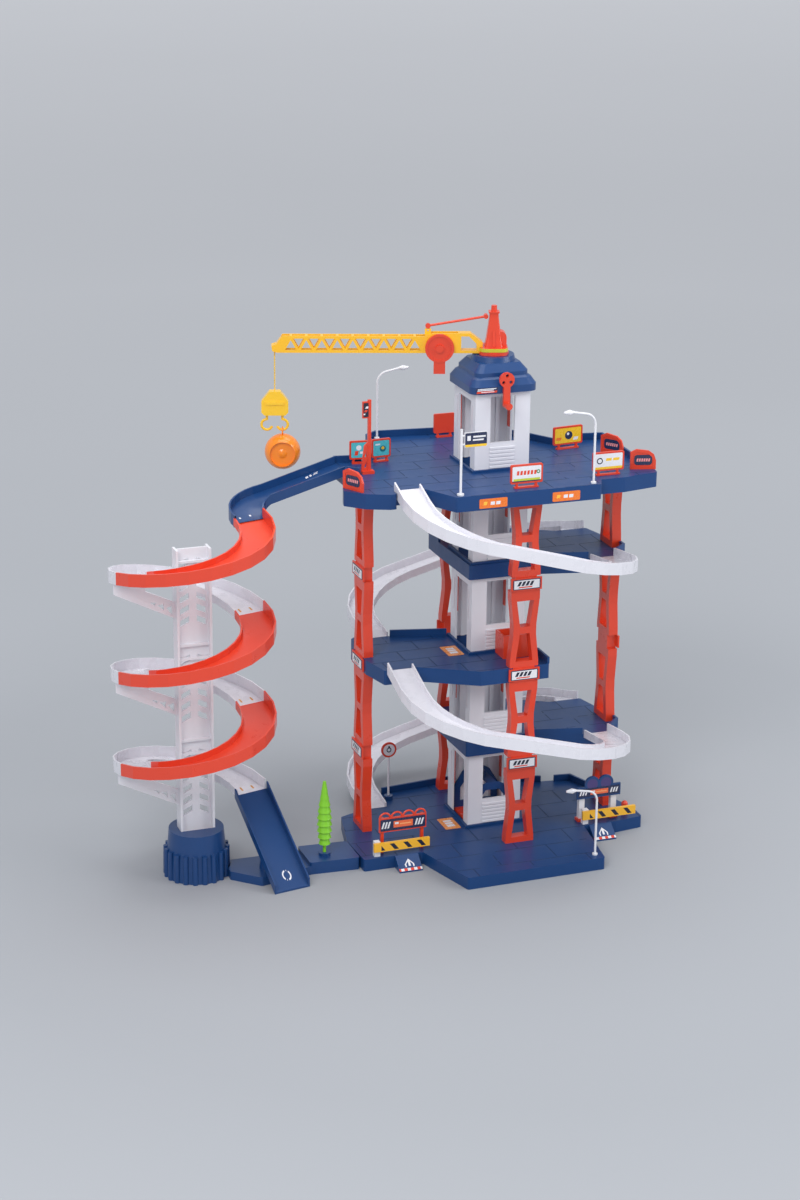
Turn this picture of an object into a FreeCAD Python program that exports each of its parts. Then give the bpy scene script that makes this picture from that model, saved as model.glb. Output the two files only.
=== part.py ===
import FreeCAD, Part
import math
import os
import re

import Sketcher
from FreeCAD import Placement, Rotation, Vector

# Toy parking garage with a lift tower, a roof crane, four U-turn ramps and a spiral track.
# Millimetres, Z up. The origin is on the floor, on the axis of the lift tower.
# X runs to the right of the front view and Y towards the back.

SIZES = {
    # storeys and decks
    "storey_height": 125,
    "base_height": 17,
    "deck_depth": 20,
    "skin_wall": 2.6,
    "corner_round": 6,
    "curb_height": 9,
    "curb_wall": 3,
    "plinth_height": 3,
    "plinth_wall": 4,
    # clearances
    "seat_gap": 0.3,
    "run_gap": 0.05,
    "lift_gap": 3,
    # lift tower
    "tower_side": 76,
    "tower_wall": 3,
    "door_width": 44,
    "door_height": 92,
    "window_width": 34,
    "window_sill": 38,
    "window_height": 61,
    "louvre_pitch": 5,
    "louvre_depth": 1.4,
    "flute_pitch": 11,
    "flute_depth": 1.6,
    "guide_width": 4,
    "guide_depth": 1.5,
    "guide_bottom": 40,
    "guide_length": 50,
    # lift car and its winding gear
    "car_floor": 3.2,
    "cage_wall": 2.4,
    "cage_height": 58,
    "crank_height": 640,
    "shaft_radius": 2.5,
    "spool_radius": 8,
    "spool_flange": 11,
    "crank_disc": 10,
    "crank_reach": 33,
    "crank_wall": 4,
    # pillars
    "pillar_width": 40,
    "pillar_depth": 13,
    "pillar_waist": 32,
    "pillar_rail": 8,
    "neck_width": 30,
    "plate_width": 43,
    "plate_height": 17,
    "plate_wall": 2.4,
    "front_pillar_x": 10,
    "front_pillar_y": 100,
    "side_pillar_x": 172,
    "side_pillar_y": 10,
    # ramps between decks
    "ramp_width": 36,
    "ramp_x": 147,
    "ramp_joint_x": 137,
    "ramp_notch_y": 64,
    "top_notch_y": 84,
    "ramp_front_y": 205,
    "ramp_entry_bend": 85,
    "ramp_exit_bend": 95,
    "ramp_wall": 2.2,
    "ramp_floor": 2.4,
    "ramp_fence": 11,
    "ramp_fence_low": 6,
    "ramp_skirt": 5,
    # spiral track
    "spiral_x": -415,
    "spiral_y": -26,
    "spiral_radius": 84,
    "spiral_pitch": 125,
    "spiral_lift_top": 12,
    "spiral_lift": 5,
    "spiral_entry_angle": 14,
    "spiral_half_angle": 182,
    "spiral_top": 470,
    "track_width": 45,
    "track_fence": 14,
    "track_fence_low": 8,
    "track_wall": 2.2,
    "track_floor": 2.6,
    "foot_radius": 44,
    "foot_height": 65,
    "foot_shoulder": 38,
    "mast_width": 46,
    "mast_depth": 20,
    "mast_tier": 130.5,
    "mast_wall": 3,
    "arm_height": 12,
    "bracket_wall": 4,
    # chutes
    "chute_start_x": -197,
    "chute_start_y": 36,
    "chute_bend": 36,
    "chute_end_x": -313,
    "chute_end_y": -121,
    "post_radius": 9,
    # roof and crane
    "roof_side": 92,
    "roof_height": 42,
    "roof_wall": 3,
    "crown_radius": 27,
    "pivot_radius": 8,
    "jib_bearing": 18,
    "jib_reach": 283,
    "jib_width": 14,
    "jib_plate": 2.6,
    "jib_depth": 22,
    "jib_panel": 20,
    "jib_chord": 3.4,
    "mast_rise": 54,
    "winch_reach": 70,
    "winch_disc": 18.7,
    "drum_radius": 6,
    "hoist_drop": 52,
    "hoist_cord_radius": 1,
    "block_width": 35,
    "block_height": 32,
    "block_depth": 12,
    "hook_radius": 7,
    "hook_wire": 1.7,
    "ball_radius": 23.5,
    # street furniture
    "lamp_height": 96,
    "lamp_reach": 32,
    "lamp_radius": 1.5,
    "board_width": 44,
    "board_height": 25,
    "board_wall": 3,
    "sign_post": 74,
    "gate_reach": 78,
    "gate_height": 12,
    "gate_wall": 4,
    "gate_pivot": 14,
    "entry_width": 32,
    "entry_run": 20,
    "gantry_span": 56,
    "gantry_height": 30,
    "banner_height": 20,
    "tree_height": 103,
    "tray_x": -5,
    "tray_length": 36,
    "tray_width": 29,
    "tray_height": 32,
}

STOREYS = 5
LOUVRES = 6
FLUTES = 5
JIB_PANELS = 9
MAST_SLOTS = 6

doc = FreeCAD.newDocument("ParkingGarage")
sheet = doc.addObject("Spreadsheet::Sheet", "Sizes")
for line, (alias, size) in enumerate(SIZES.items(), 1):
    sheet.set(f"A{line}", alias)
    sheet.set(f"B{line}", str(size))
    sheet.setAlias(f"B{line}", alias)
doc.recompute()

parts = []


def cells(text):
    """An expression on size names, written as references to the sheet."""
    return re.sub(r"\b[a-z]+(_[a-z]+)+\b", lambda word: "Sizes." + word.group(), str(text))


def value(text):
    """The number that an expression on size names gives."""
    return float(sheet.evalExpression(cells(text)))


def bind(thing, **texts):
    """Ties properties of a document object to the sheet."""
    for name, text in texts.items():
        thing.setExpression(name, cells(text))
    return thing


def place(thing, x=0, y=0, z=0, turn=None):
    """Puts a document object at a point given by expressions, turned by a fixed rotation."""
    if turn is not None:
        thing.Placement = Placement(Vector(), turn)
    for axis, text in zip("xyz", (x, y, z)):
        thing.setExpression("Placement.Base." + axis, cells(text))
    return thing


def box(name, length, width, height, x, y, z):
    """A block with its low corner at x, y, z."""
    thing = bind(doc.addObject("Part::Box", name), Length=length, Width=width, Height=height)
    return place(thing, x, y, z)


def block(name, length, width, height, x, y, z):
    """A block centred on x and y that stands on z."""
    return box(name, length, width, height, f"{x} - ({length}) / 2", f"{y} - ({width}) / 2", z)


UPRIGHT = Rotation()
ALONG_X = Rotation(Vector(0, 1, 0), 90)
ALONG_Y = Rotation(Vector(1, 0, 0), -90)
FACING_FRONT = Rotation(Vector(1, 0, 0), 90)
FACING_SIDE = Rotation(Vector(0, 0, 1), 90) * FACING_FRONT


def rod(name, radius, length, x, y, z, turn=UPRIGHT):
    """A round bar that starts at x, y, z."""
    thing = bind(doc.addObject("Part::Cylinder", name), Radius=radius, Height=length)
    return place(thing, x, y, z, turn)


def cone(name, low_radius, high_radius, length, x, y, z, turn=UPRIGHT):
    """A tapered round bar that starts at x, y, z."""
    thing = bind(doc.addObject("Part::Cone", name), Radius1=low_radius, Radius2=high_radius, Height=length)
    return place(thing, x, y, z, turn)


def ball(name, radius, x, y, z):
    """A sphere centred on x, y, z."""
    return place(bind(doc.addObject("Part::Sphere", name), Radius=radius), x, y, z)


def join(name, *things):
    """One solid made of touching pieces."""
    thing = doc.addObject("Part::MultiFuse", name)
    thing.Shapes = list(things)
    thing.Refine = True
    return thing


def cut(name, base, *tools):
    """The base with the tools taken away."""
    for number, tool in enumerate(tools, 1):
        thing = doc.addObject("Part::Cut", f"{name}{number}")
        thing.Base = base
        thing.Tool = tool
        base = thing
    base.Refine = True
    return base


def group(name, *things):
    """Separate solids that share one name."""
    thing = doc.addObject("Part::Compound", name)
    thing.Links = list(things)
    return thing


def outline_sketch(body, name, points):
    """A closed sketch through corners whose places are expressions."""
    sketch = body.newObject("Sketcher::SketchObject", name)
    plane = [part for part in body.Origin.OriginFeatures if part.Role == "XY_Plane"][0]
    sketch.AttachmentSupport = [(plane, "")]
    sketch.MapMode = "FlatFace"
    add_loop(sketch, points)
    return sketch


def add_loop(sketch, points):
    """Adds a closed loop to a sketch and ties each corner to the sheet."""
    corners = [Vector(value(across), value(up), 0) for across, up in points]
    first = sketch.GeometryCount
    count = len(points)
    for number in range(count):
        sketch.addGeometry(Part.LineSegment(corners[number], corners[(number + 1) % count]), False)
    for number in range(count):
        follower = first + (number + 1) % count
        sketch.addConstraint(Sketcher.Constraint("Coincident", first + number, 2, follower, 1))
    for number, (across, up) in enumerate(points):
        for kind, text in (("DistanceX", across), ("DistanceY", up)):
            rule = Sketcher.Constraint(kind, -1, 1, first + number, 1, value(text))
            index = sketch.addConstraint(rule)
            sketch.setExpression(f"Constraints[{index}]", cells(text))


def prism(name, points, depth, *holes):
    """A body: an outline padded by a depth, with holes through it."""
    body = doc.addObject("PartDesign::Body", name)
    sketch = outline_sketch(body, name + "Outline", points)
    for hole in holes:
        add_loop(sketch, hole)
    pad = body.newObject("PartDesign::Pad", name + "Pad")
    pad.Profile = sketch
    bind(pad, Length=depth)
    doc.recompute([body])
    return body


def clear_of_pillars(spot):
    """Whether a corner of a deck lies outside the pillars' notches."""
    front = (value("front_pillar_x"), -value("front_pillar_y"))
    side = (-value("side_pillar_x"), value("side_pillar_y"))
    nearest = min(math.hypot(spot.x * sign - x, spot.y * sign - y) for x, y in (front, side) for sign in (-1, 1))
    return nearest > value("neck_width") * 0.72


def clear_of_notches(spot):
    """Whether a corner lies away from the ends of the ramps."""
    ends = (value("ramp_notch_y") - 2, value("top_notch_y"))
    return clear_of_pillars(spot) and min(abs(abs(spot.y) - end) for end in ends) > 1


def round_uprights(body, radius, chosen=lambda spot: True):
    """Rounds the edges of a prism that run along its depth."""
    tip = body.Tip
    edges = []
    for number, edge in enumerate(tip.Shape.Edges, 1):
        straight = edge.Curve.TypeId == "Part::GeomLine"
        if straight and abs(edge.tangentAt(edge.FirstParameter).z) > 0.99 and chosen(edge.CenterOfMass):
            edges.append(f"Edge{number}")
    fillet = body.newObject("PartDesign::Fillet", body.Name + "Round")
    fillet.Base = (tip, edges)
    bind(fillet, Radius=radius)
    doc.recompute([body])
    return body


def hollow_below(body, wall):
    """Makes a padded body a tray that is open underneath."""
    tip = body.Tip
    under = []
    for number, face in enumerate(tip.Shape.Faces, 1):
        if face.normalAt(0, 0).z < -0.99:
            under.append(f"Face{number}")
    shell = body.newObject("PartDesign::Thickness", body.Name + "Shell")
    shell.Base = (tip, under)
    bind(shell, Value=wall)
    shell.Reversed = True
    shell.Join = 1
    doc.recompute([body])
    return body


def keep(label, thing):
    """Names a finished sub-part."""
    thing.Label = label
    parts.append(thing)
    return thing


def made(name, shape):
    """A sub-part whose shape is worked out here from sizes on the sheet."""
    thing = doc.addObject("Part::Feature", name)
    thing.Shape = shape
    return thing


def deck_top(storey):
    """The height of a storey's road surface."""
    return f"(base_height + {storey} * storey_height)"


def turned(points, half_turn):
    """An outline as it is, or turned half round about the tower's axis."""
    if not half_turn:
        return points
    return [(f"-({across})", f"-({up})") for across, up in points]


# Decks

LEFT_EDGE = "-(side_pillar_x + pillar_depth / 2 - seat_gap)"
NOTCH_IN = "side_pillar_x - pillar_depth / 2 - seat_gap"
NECK_HALF = "(neck_width / 2 + seat_gap)"
TOWER_HALF = "tower_side / 2"


def side_notch(sign):
    """The corners of a pillar's notch in a deck's left edge, front to back or back to front."""
    corners = [
        (LEFT_EDGE, f"side_pillar_y - {NECK_HALF}"),
        (f"-({NOTCH_IN})", f"side_pillar_y - {NECK_HALF}"),
        (f"-({NOTCH_IN})", f"side_pillar_y + {NECK_HALF}"),
        (LEFT_EDGE, f"side_pillar_y + {NECK_HALF}"),
    ]
    return corners[::sign]


def deck_outline():
    """The outline of the deck on the left of the tower."""
    front = "-(front_pillar_y + pillar_depth / 2 + plate_wall)"
    front_in = "-(front_pillar_y - pillar_depth / 2 - seat_gap)"
    return [
        ("-(ramp_x + ramp_width / 2 + 3)", "-ramp_notch_y"),
        ("-(ramp_x - ramp_width / 2 - 6)", "-ramp_notch_y"),
        ("-50", f"{front} + 3"),
        (f"front_pillar_x - {NECK_HALF}", f"{front} + 3"),
        (f"front_pillar_x - {NECK_HALF}", front_in),
        (f"front_pillar_x + {NECK_HALF}", front_in),
        (f"front_pillar_x + {NECK_HALF}", f"{front} + 3"),
        (f"{TOWER_HALF} + 9", f"{front} + 3"),
        (f"{TOWER_HALF} + 9", "-66"),
        (f"{TOWER_HALF} + 6", f"{TOWER_HALF} + 6"),
        (f"-{TOWER_HALF}", f"{TOWER_HALF} + 6"),
        ("-(ramp_joint_x - ramp_width / 2)", "ramp_notch_y - 2"),
        ("-(ramp_joint_x + ramp_width / 2)", "ramp_notch_y - 2"),
        (LEFT_EDGE, "44"),
        *side_notch(-1),
        (LEFT_EDGE, "-18"),
    ]


def curb(name, points, z):
    """A curb along a deck's edge, as a strip that lies inside the corners given."""
    wall = value("curb_wall")
    line = [Vector(value(across), value(up), 0) for across, up in points]
    ahead = [(second - first).normalize() for first, second in zip(line, line[1:])]
    sides = [Vector(-step.y, step.x, 0) for step in ahead]
    inner = []
    for number, corner in enumerate(line):
        before = sides[max(number - 1, 0)]
        after = sides[min(number, len(sides) - 1)]
        middle = (before + after).normalize()
        inner.append(corner + middle * (wall / middle.dot(after)))
    ring = Part.makePolygon(line + inner[::-1] + [line[0]])
    height = value("curb_height")
    strip = Part.Face(ring).extrude(Vector(0, 0, height))
    strip.translate(Vector(0, 0, value(z)))
    return made(name, strip)


def tower_seat(name, z):
    """The plinth round the tower's foot and the boss round the shaft below it."""
    depth = "deck_depth"
    side = "tower_side + 2 * plinth_wall"
    return block(name, side, side, f"{depth} + plinth_height", 0, 0, f"{z} - {depth}")


def shaft_hole(name, z, depth):
    """The square way of the lift through a deck."""
    side = "tower_side - 2 * tower_wall"
    return block(name, side, side, depth, 0, 0, z)


def tower_recess(name, z):
    """The seat in the plinth that the tower's wall stands in."""
    side = "tower_side + 2 * seat_gap"
    return block(name, side, side, "plinth_height + 1", 0, 0, z)


def storey_deck(label, storey, half_turn, curbs):
    """A deck: a tray open below, with its curbs, tower plinth and lift way."""
    top = deck_top(storey)
    body = prism(label + "Tray", turned(deck_outline(), half_turn), "deck_depth")
    round_uprights(body, "corner_round / 2 + 0.2", clear_of_pillars)
    hollow_below(body, "skin_wall")
    place(body, 0, 0, f"{top} - deck_depth")
    walls = [curb(f"{label}Curb{number}", turned(points, half_turn), top) for number, points in enumerate(curbs)]
    solid = join(label + "Body", body, tower_seat(label + "Seat", top), *walls)
    depth = "deck_depth + plinth_height + 2"
    trimmed = cut(label + "Cut", solid, shaft_hole(label + "Shaft", f"{top} - deck_depth - 1", depth))
    trimmed = cut(label + "Recess", trimmed, tower_recess(label + "Foot", top))
    return keep(label, trimmed)


BACK_CURB = [
    (f"-{TOWER_HALF} - plinth_wall", f"{TOWER_HALF} + 6 + (4 + plinth_wall - 4) * 0"),
    ("-(ramp_joint_x - ramp_width / 2) + 2", "ramp_notch_y - 2"),
]
LEFT_CURB = [
    ("-(ramp_joint_x + ramp_width / 2) - 2", "ramp_notch_y - 3"),
    (LEFT_EDGE, "43"),
    (LEFT_EDGE, "side_pillar_y + pillar_width / 2 + 1"),
]
RIGHT_CURB = [
    (f"{TOWER_HALF} + 9", f"-(front_pillar_y + pillar_depth / 2 + plate_wall) + 4"),
    (f"{TOWER_HALF} + 9", "-66"),
]


def base_outline():
    """The outline of the ground plate."""
    return [
        ("-96", "-192"),
        ("99", "-189"),
        ("114", "-84"),
        ("162", "-84"),
        ("203", "-78"),
        ("203", "-44"),
        ("160", "72"),
        ("118", "78"),
        ("30", "116"),
        ("-16", "118"),
        ("-112", "108"),
        ("-(ramp_joint_x - ramp_width / 2)", "ramp_notch_y - 2"),
        ("-(ramp_joint_x + ramp_width / 2)", "ramp_notch_y - 2"),
        ("-190", "48"),
        ("-208", "-30"),
        ("-206", "-96"),
        ("-124", "-96"),
    ]


def base_plate():
    """The ground plate: a tray open below with a solid block under the lift."""
    body = prism("BaseTray", base_outline(), "base_height")
    round_uprights(body, "corner_round / 2 + 0.2", clear_of_notches)
    hollow_below(body, "skin_wall")
    side = "tower_side + 2 * plinth_wall"
    seat = block("BaseSeat", side, side, "base_height + plinth_height", 0, 0, 0)
    ribs = [
        box("BaseRibLeft", "150", "skin_wall", "base_height - 2", "-190", 0, 1),
        box("BaseRibRight", "148", "skin_wall", "base_height - 2", "40", 0, 1),
        box("BaseRibFront", "skin_wall", "150", "base_height - 2", 0, "-189", 1),
        box("BaseRibBack", "skin_wall", "72", "base_height - 2", 0, "40", 1),
    ]
    curbs = [
        curb("BaseCurbBack", [("118", "78"), ("30", "116"), ("-16", "118"), ("-111", "108.2")], "base_height"),
        curb("BaseCurbRight", [("188", "-6"), ("160", "72"), ("136", "75")], "base_height"),
    ]
    solid = join("BaseBody", body, seat, *ribs, *curbs)
    recess = tower_recess("BaseFoot", "base_height")
    pit_side = "tower_side - 2 * tower_wall"
    pit = block("BasePit", pit_side, pit_side, "base_height", 0, 0, "base_height - car_floor - 2 * seat_gap")
    return keep("base_plate", cut("BaseCut", solid, recess, pit))


def top_outline():
    """The outline of the roof deck."""
    return [
        ("-(ramp_x + ramp_width / 2 + 10)", "-top_notch_y - 16"),
        ("-(ramp_x + ramp_width / 2 + 1)", "-top_notch_y - 16"),
        ("-(ramp_x + ramp_width / 2 + 1)", "-top_notch_y"),
        ("-(ramp_x - ramp_width / 2 - 1)", "-top_notch_y"),
        ("-100", "-137"),
        ("98", "-137"),
        ("106", "-118"),
        ("140", "-118"),
        ("190", "-108"),
        ("196", "-76"),
        ("184", "-70"),
        ("188", "64"),
        ("150", "70"),
        ("116", "52"),
        ("84", "104"),
        ("40", "150"),
        ("-104", "166"),
        ("-122", "152"),
        ("-128", "86"),
        ("-160", "58"),
        ("chute_start_x", "chute_start_y + track_width / 2 + 5"),
        ("chute_start_x", "chute_start_y - track_width / 2 - 5"),
        ("-184", "-4"),
        ("-190", "-34"),
        ("-222", "-50"),
        ("-226", "-66"),
        ("-204", "-88"),
    ]


def pillar_socket(name, x, y, turn, z):
    """The collar under the roof deck that takes a pillar's neck, and the neck's room in it."""
    long_side = f"2 * {NECK_HALF} + 2 * skin_wall"
    short_side = "pillar_depth + 2 * seat_gap + 2 * skin_wall"
    sides = (long_side, short_side) if turn == "front" else (short_side, long_side)
    collar = block(name, *sides, "deck_depth - 1", x, y, f"{z} - deck_depth")
    inner = [f"{side} - 2 * skin_wall" for side in sides]
    room = block(name + "Room", *inner, "deck_depth - skin_wall + 1", x, y, f"{z} - deck_depth - 1")
    return collar, room


def top_deck():
    """The roof deck with its curbs, plinth and pillar sockets."""
    top = deck_top(4)
    body = prism("TopTray", top_outline(), "deck_depth")
    round_uprights(body, "corner_round / 2 + 0.2", clear_of_notches)
    hollow_below(body, "skin_wall")
    place(body, 0, 0, f"{top} - deck_depth")
    sockets = [
        pillar_socket("SocketFront", "front_pillar_x", "-front_pillar_y", "front", top),
        pillar_socket("SocketBack", "-front_pillar_x", "front_pillar_y", "front", top),
        pillar_socket("SocketLeft", "-side_pillar_x", "side_pillar_y", "side", top),
        pillar_socket("SocketRight", "side_pillar_x", "-side_pillar_y", "side", top),
    ]
    curbs = [
        curb("TopCurbBack", [("188", "64"), ("150", "70"), ("116", "52"), ("84", "104"), ("40", "150"),
                             ("-104", "166"), ("-122", "152"), ("-128", "86"), ("-158", "59")], top),
        curb("TopCurbRight", [("184", "-68"), ("188", "64")], top),
        curb("TopCurbChuteBack", [("-160", "58"),
                                  ("chute_start_x", "chute_start_y + track_width / 2 + 5")], top),
        curb("TopCurbChuteFront", [("chute_start_x", "chute_start_y - track_width / 2 - 5"),
                                   ("-184", "-4")], top),
    ]
    solid = join("TopBody", body, tower_seat("TopSeat", top), *[collar for collar, room in sockets], *curbs)
    depth = "deck_depth + plinth_height + 2"
    tools = [room for collar, room in sockets]
    tools.append(shaft_hole("TopShaft", f"{top} - deck_depth - 1", depth))
    tools.append(tower_recess("TopFoot", top))
    return keep("top_deck", cut("TopCut", solid, *tools))


# Lift tower


def tower_wall(storey):
    """One storey of the tower: a square tube with two doorways, a window and louvres."""
    name = f"Wall{storey}"
    top = deck_top(storey)
    side = "tower_side"
    height = "storey_height - deck_depth"
    inside = "tower_side - 2 * tower_wall"
    tube = cut(name + "Tube", block(name + "Out", side, side, height, 0, 0, top),
               block(name + "In", inside, inside, f"{height} + 2", 0, 0, f"{top} - 1"),
               block(name + "Doors", "tower_side + 2", "door_width", "door_height + 1", 0, 0, f"{top} - 1"),
               block(name + "Window", "window_width", "tower_side", "window_height", 0,
                     "-tower_side / 2", f"{top} + window_sill"))
    face = "-tower_side / 2"
    ribs = []
    for number in range(LOUVRES):
        level = f"{top} + 4 + {number} * louvre_pitch"
        ribs.append(box(f"{name}Louvre{number}", "window_width", "louvre_depth + 0.4", "louvre_pitch / 2",
                        "-window_width / 2", f"{face} - louvre_depth", level))
    for number in range(FLUTES):
        offset = f"({number} - {FLUTES - 1} / 2) * flute_pitch"
        ribs.append(box(f"{name}Flute{number}", "flute_pitch / 2", "flute_depth + 0.4", height,
                        f"{offset} - flute_pitch / 4", f"{inside} - tower_side / 2 + tower_wall - flute_depth", top))
    slots = []
    for sign in (-1, 1):
        slots.append(block(f"{name}Slot{sign + 2}", "tower_side + 2", "guide_width - 1",
                           "guide_length - 6", 0, f"{sign} * (door_width / 2 + guide_width)",
                           f"{top} + guide_bottom + 3"))
    return keep(f"tower_wall_{storey + 1}", cut(name + "Cut", join(name + "Body", tube, *ribs), *slots))


def guide_strips():
    """The red strips in each storey that the lift car slides between."""
    strips = []
    inner = "tower_side / 2 - tower_wall"
    for storey in range(STOREYS):
        low = f"{deck_top(storey)} + guide_bottom"
        for side in (-1, 1):
            for end in (-1, 1):
                x = f"{side} * ({inner} - guide_depth / 2)"
                y = f"{end} * (door_width / 2 + guide_width)"
                strips.append(block(f"Guide{storey}{side + 1}{end + 1}", "guide_depth", "guide_width * 1.6",
                                    "guide_length", x, y, low))
    return keep("lift_guide_strips", group("GuideStrips", *strips))


def lift_car():
    """The lift's floor and the cage that stands on it."""
    half = "(tower_side / 2 - tower_wall - lift_gap)"
    low = "base_height - car_floor"
    floor = block("CarFloor", f"2 * {half}", f"2 * {half}", "car_floor", 0, 0, low)
    grooves = []
    for number in range(5):
        y = f"({number} - 2) * {half} / 3"
        grooves.append(block(f"CarGroove{number}", f"2 * {half} + 2", "2", "0.8", 0, y, "base_height - 0.8"))
    keep("lift_platform", cut("CarFloorCut", floor, *grooves))
    rise = "cage_height"
    arch = [
        (f"-{half}", "0"), (f"{half}", "0"), (f"{half}", f"{rise} * 0.55"), (f"{half} * 0.62", f"{rise} * 0.9"),
        (f"{half} * 0.3", rise), (f"-{half} * 0.3", rise), (f"-{half} * 0.62", f"{rise} * 0.9"),
        (f"-{half}", f"{rise} * 0.55"),
    ]
    gap = [
        (f"-{half} * 0.72", f"{rise} * 0.16"), (f"{half} * 0.72", f"{rise} * 0.16"),
        (f"{half} * 0.72", f"{rise} * 0.5"), (f"{half} * 0.3", f"{rise} * 0.82"),
        (f"-{half} * 0.3", f"{rise} * 0.82"), (f"-{half} * 0.72", f"{rise} * 0.5"),
    ]
    frames = []
    for number, y in enumerate((f"-{half} + cage_wall", half)):
        frame = prism(f"CageFrame{number}", arch, "cage_wall", gap)
        frames.append(place(frame, 0, y, "base_height", FACING_FRONT))
    beam = block("CageBeam", "12", f"2 * {half}", "cage_wall * 1.5", 0, 0, f"base_height + {rise} - cage_wall * 1.5")
    eye = cut("CageEyeCut", rod("CageEye", "5", "3", "-1.5", 0, f"base_height + {rise}", ALONG_X),
              rod("CageEyeBore", "2.2", "5", "-2.5", 0, f"base_height + {rise} + 1.4", ALONG_X))
    keep("lift_cage", join("Cage", *frames, beam, eye))


def lift_winding():
    """The crank on the roof's front and the spool on its shaft."""
    level = "crank_height"
    front = "-(roof_side / 2 + 1)"
    shaft = rod("CrankShaft", "shaft_radius", "roof_side / 2 + 18", 0, front, level, ALONG_Y)
    hub = rod("CrankHub", "crank_disc", "crank_wall", 0, f"{front} - crank_wall", level, ALONG_Y)
    arm = block("CrankArm", "9", "crank_wall", "crank_reach", 0, f"{front} - crank_wall / 2",
                f"{level} - crank_reach")
    knob = rod("CrankKnob", "4.5", "crank_wall + 9", 0, f"{front} - crank_wall - 9",
               f"{level} - crank_reach", ALONG_Y)
    holes = []
    for number in range(3):
        angle = math.radians(90 + 120 * number)
        across = f"crank_disc * 0.58 * {math.cos(angle):.4f}"
        up = f"crank_disc * 0.58 * {math.sin(angle):.4f}"
        holes.append(rod(f"CrankHole{number}", "crank_disc * 0.22", "crank_wall + 2", across,
                         f"{front} - crank_wall - 1", f"{level} + {up}", ALONG_Y))
    keep("lift_crank", cut("CrankCut", join("Crank", shaft, hub, arm, knob), *holes))
    drum = rod("SpoolDrum", "spool_radius", "20", 0, "-10", level, ALONG_Y)
    rims = [rod(f"SpoolRim{number}", "spool_flange", "2", 0, y, level, ALONG_Y)
            for number, y in enumerate(("-12", "10"))]
    bore = rod("SpoolBore", "shaft_radius + run_gap", "40", 0, "-20", level, ALONG_Y)
    keep("lift_spool", cut("SpoolCut", join("Spool", drum, *rims), bore))


def rounded_square(half, corner, z):
    """A square wire with round corners, centred on the tower's axis."""
    corner = min(corner, half * 0.9)
    straight = half - corner
    slant = corner * math.sqrt(0.5)
    edges = []
    for quarter in range(4):
        spin = Rotation(Vector(0, 0, 1), 90 * quarter)
        start = spin.multVec(Vector(half, -straight, 0))
        finish = spin.multVec(Vector(half, straight, 0))
        bulge = spin.multVec(Vector(straight + slant, straight + slant, 0))
        following = spin.multVec(Vector(straight, half, 0))
        edges.append(Part.LineSegment(start, finish).toShape())
        edges.append(Part.Arc(finish, bulge, following).toShape())
    wire = Part.Wire(edges)
    wire.translate(Vector(0, 0, z))
    return wire


def roof():
    """The flared roof: a hollow cap with a step and a round crown for the crane."""
    low = value(f"{deck_top(4)} + storey_height - deck_depth")
    half = value("roof_side") / 2
    height = value("roof_height")
    wall = value("roof_wall")
    steps = [(0, 1), (0.22, 1), (0.42, 0.88), (0.48, 0.8), (0.6, 0.8), (0.84, 0.62)]
    outer = [rounded_square(half * share, half * 0.28 * share, low + height * rise) for rise, share in steps]
    inner_steps = [(0, 1), (0.2, 1), (0.38, 0.88), (0.52, 0.74), (0.78, 0.62)]
    inner = [rounded_square(half * share - wall, half * 0.2 * share, low + height * rise)
             for rise, share in inner_steps]
    cap = Part.makeLoft(outer, True, True)
    room = Part.makeLoft(inner, True, True)
    sill = Part.makeBox(2 * half, 2 * half, wall, Vector(-half, -half, low))
    room = room.cut(sill).fuse(Part.makeBox(half, half, wall + 2, Vector(-half / 2, -half / 2, low - 1)))
    top_room = inner_steps[-1][0] * height
    crown_low = low + steps[-1][0] * height - 1
    crown = Part.makeCone(value("crown_radius") + 2, value("crown_radius"), height - steps[-1][0] * height + 1,
                          Vector(0, 0, crown_low))
    shell = cap.fuse(crown).cut(room)
    boss = Part.makeCylinder(value("pivot_radius") + 4, height - top_room + 1, Vector(0, 0, low + top_room - 1))
    bearing = Part.makeCylinder(value("shaft_radius") + 4, 8, Vector(0, -half, value("crank_height")), Vector(0, 1, 0))
    back = Part.makeBox(14, 3, value("crank_height") - low + 10, Vector(-7, 14, low + 6))
    shell = shell.fuse([boss, bearing, back]).removeSplitter()
    pivot = Part.makeCylinder(value("pivot_radius + run_gap"), height, Vector(0, 0, low + height * 0.6))
    shaft = Part.makeCylinder(value("shaft_radius + run_gap"), 2 * half, Vector(0, -half - 1, value("crank_height")),
                              Vector(0, 1, 0))
    return keep("roof", made("Roof", shell.cut(pivot).cut(shaft)))


# Pillars


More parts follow.
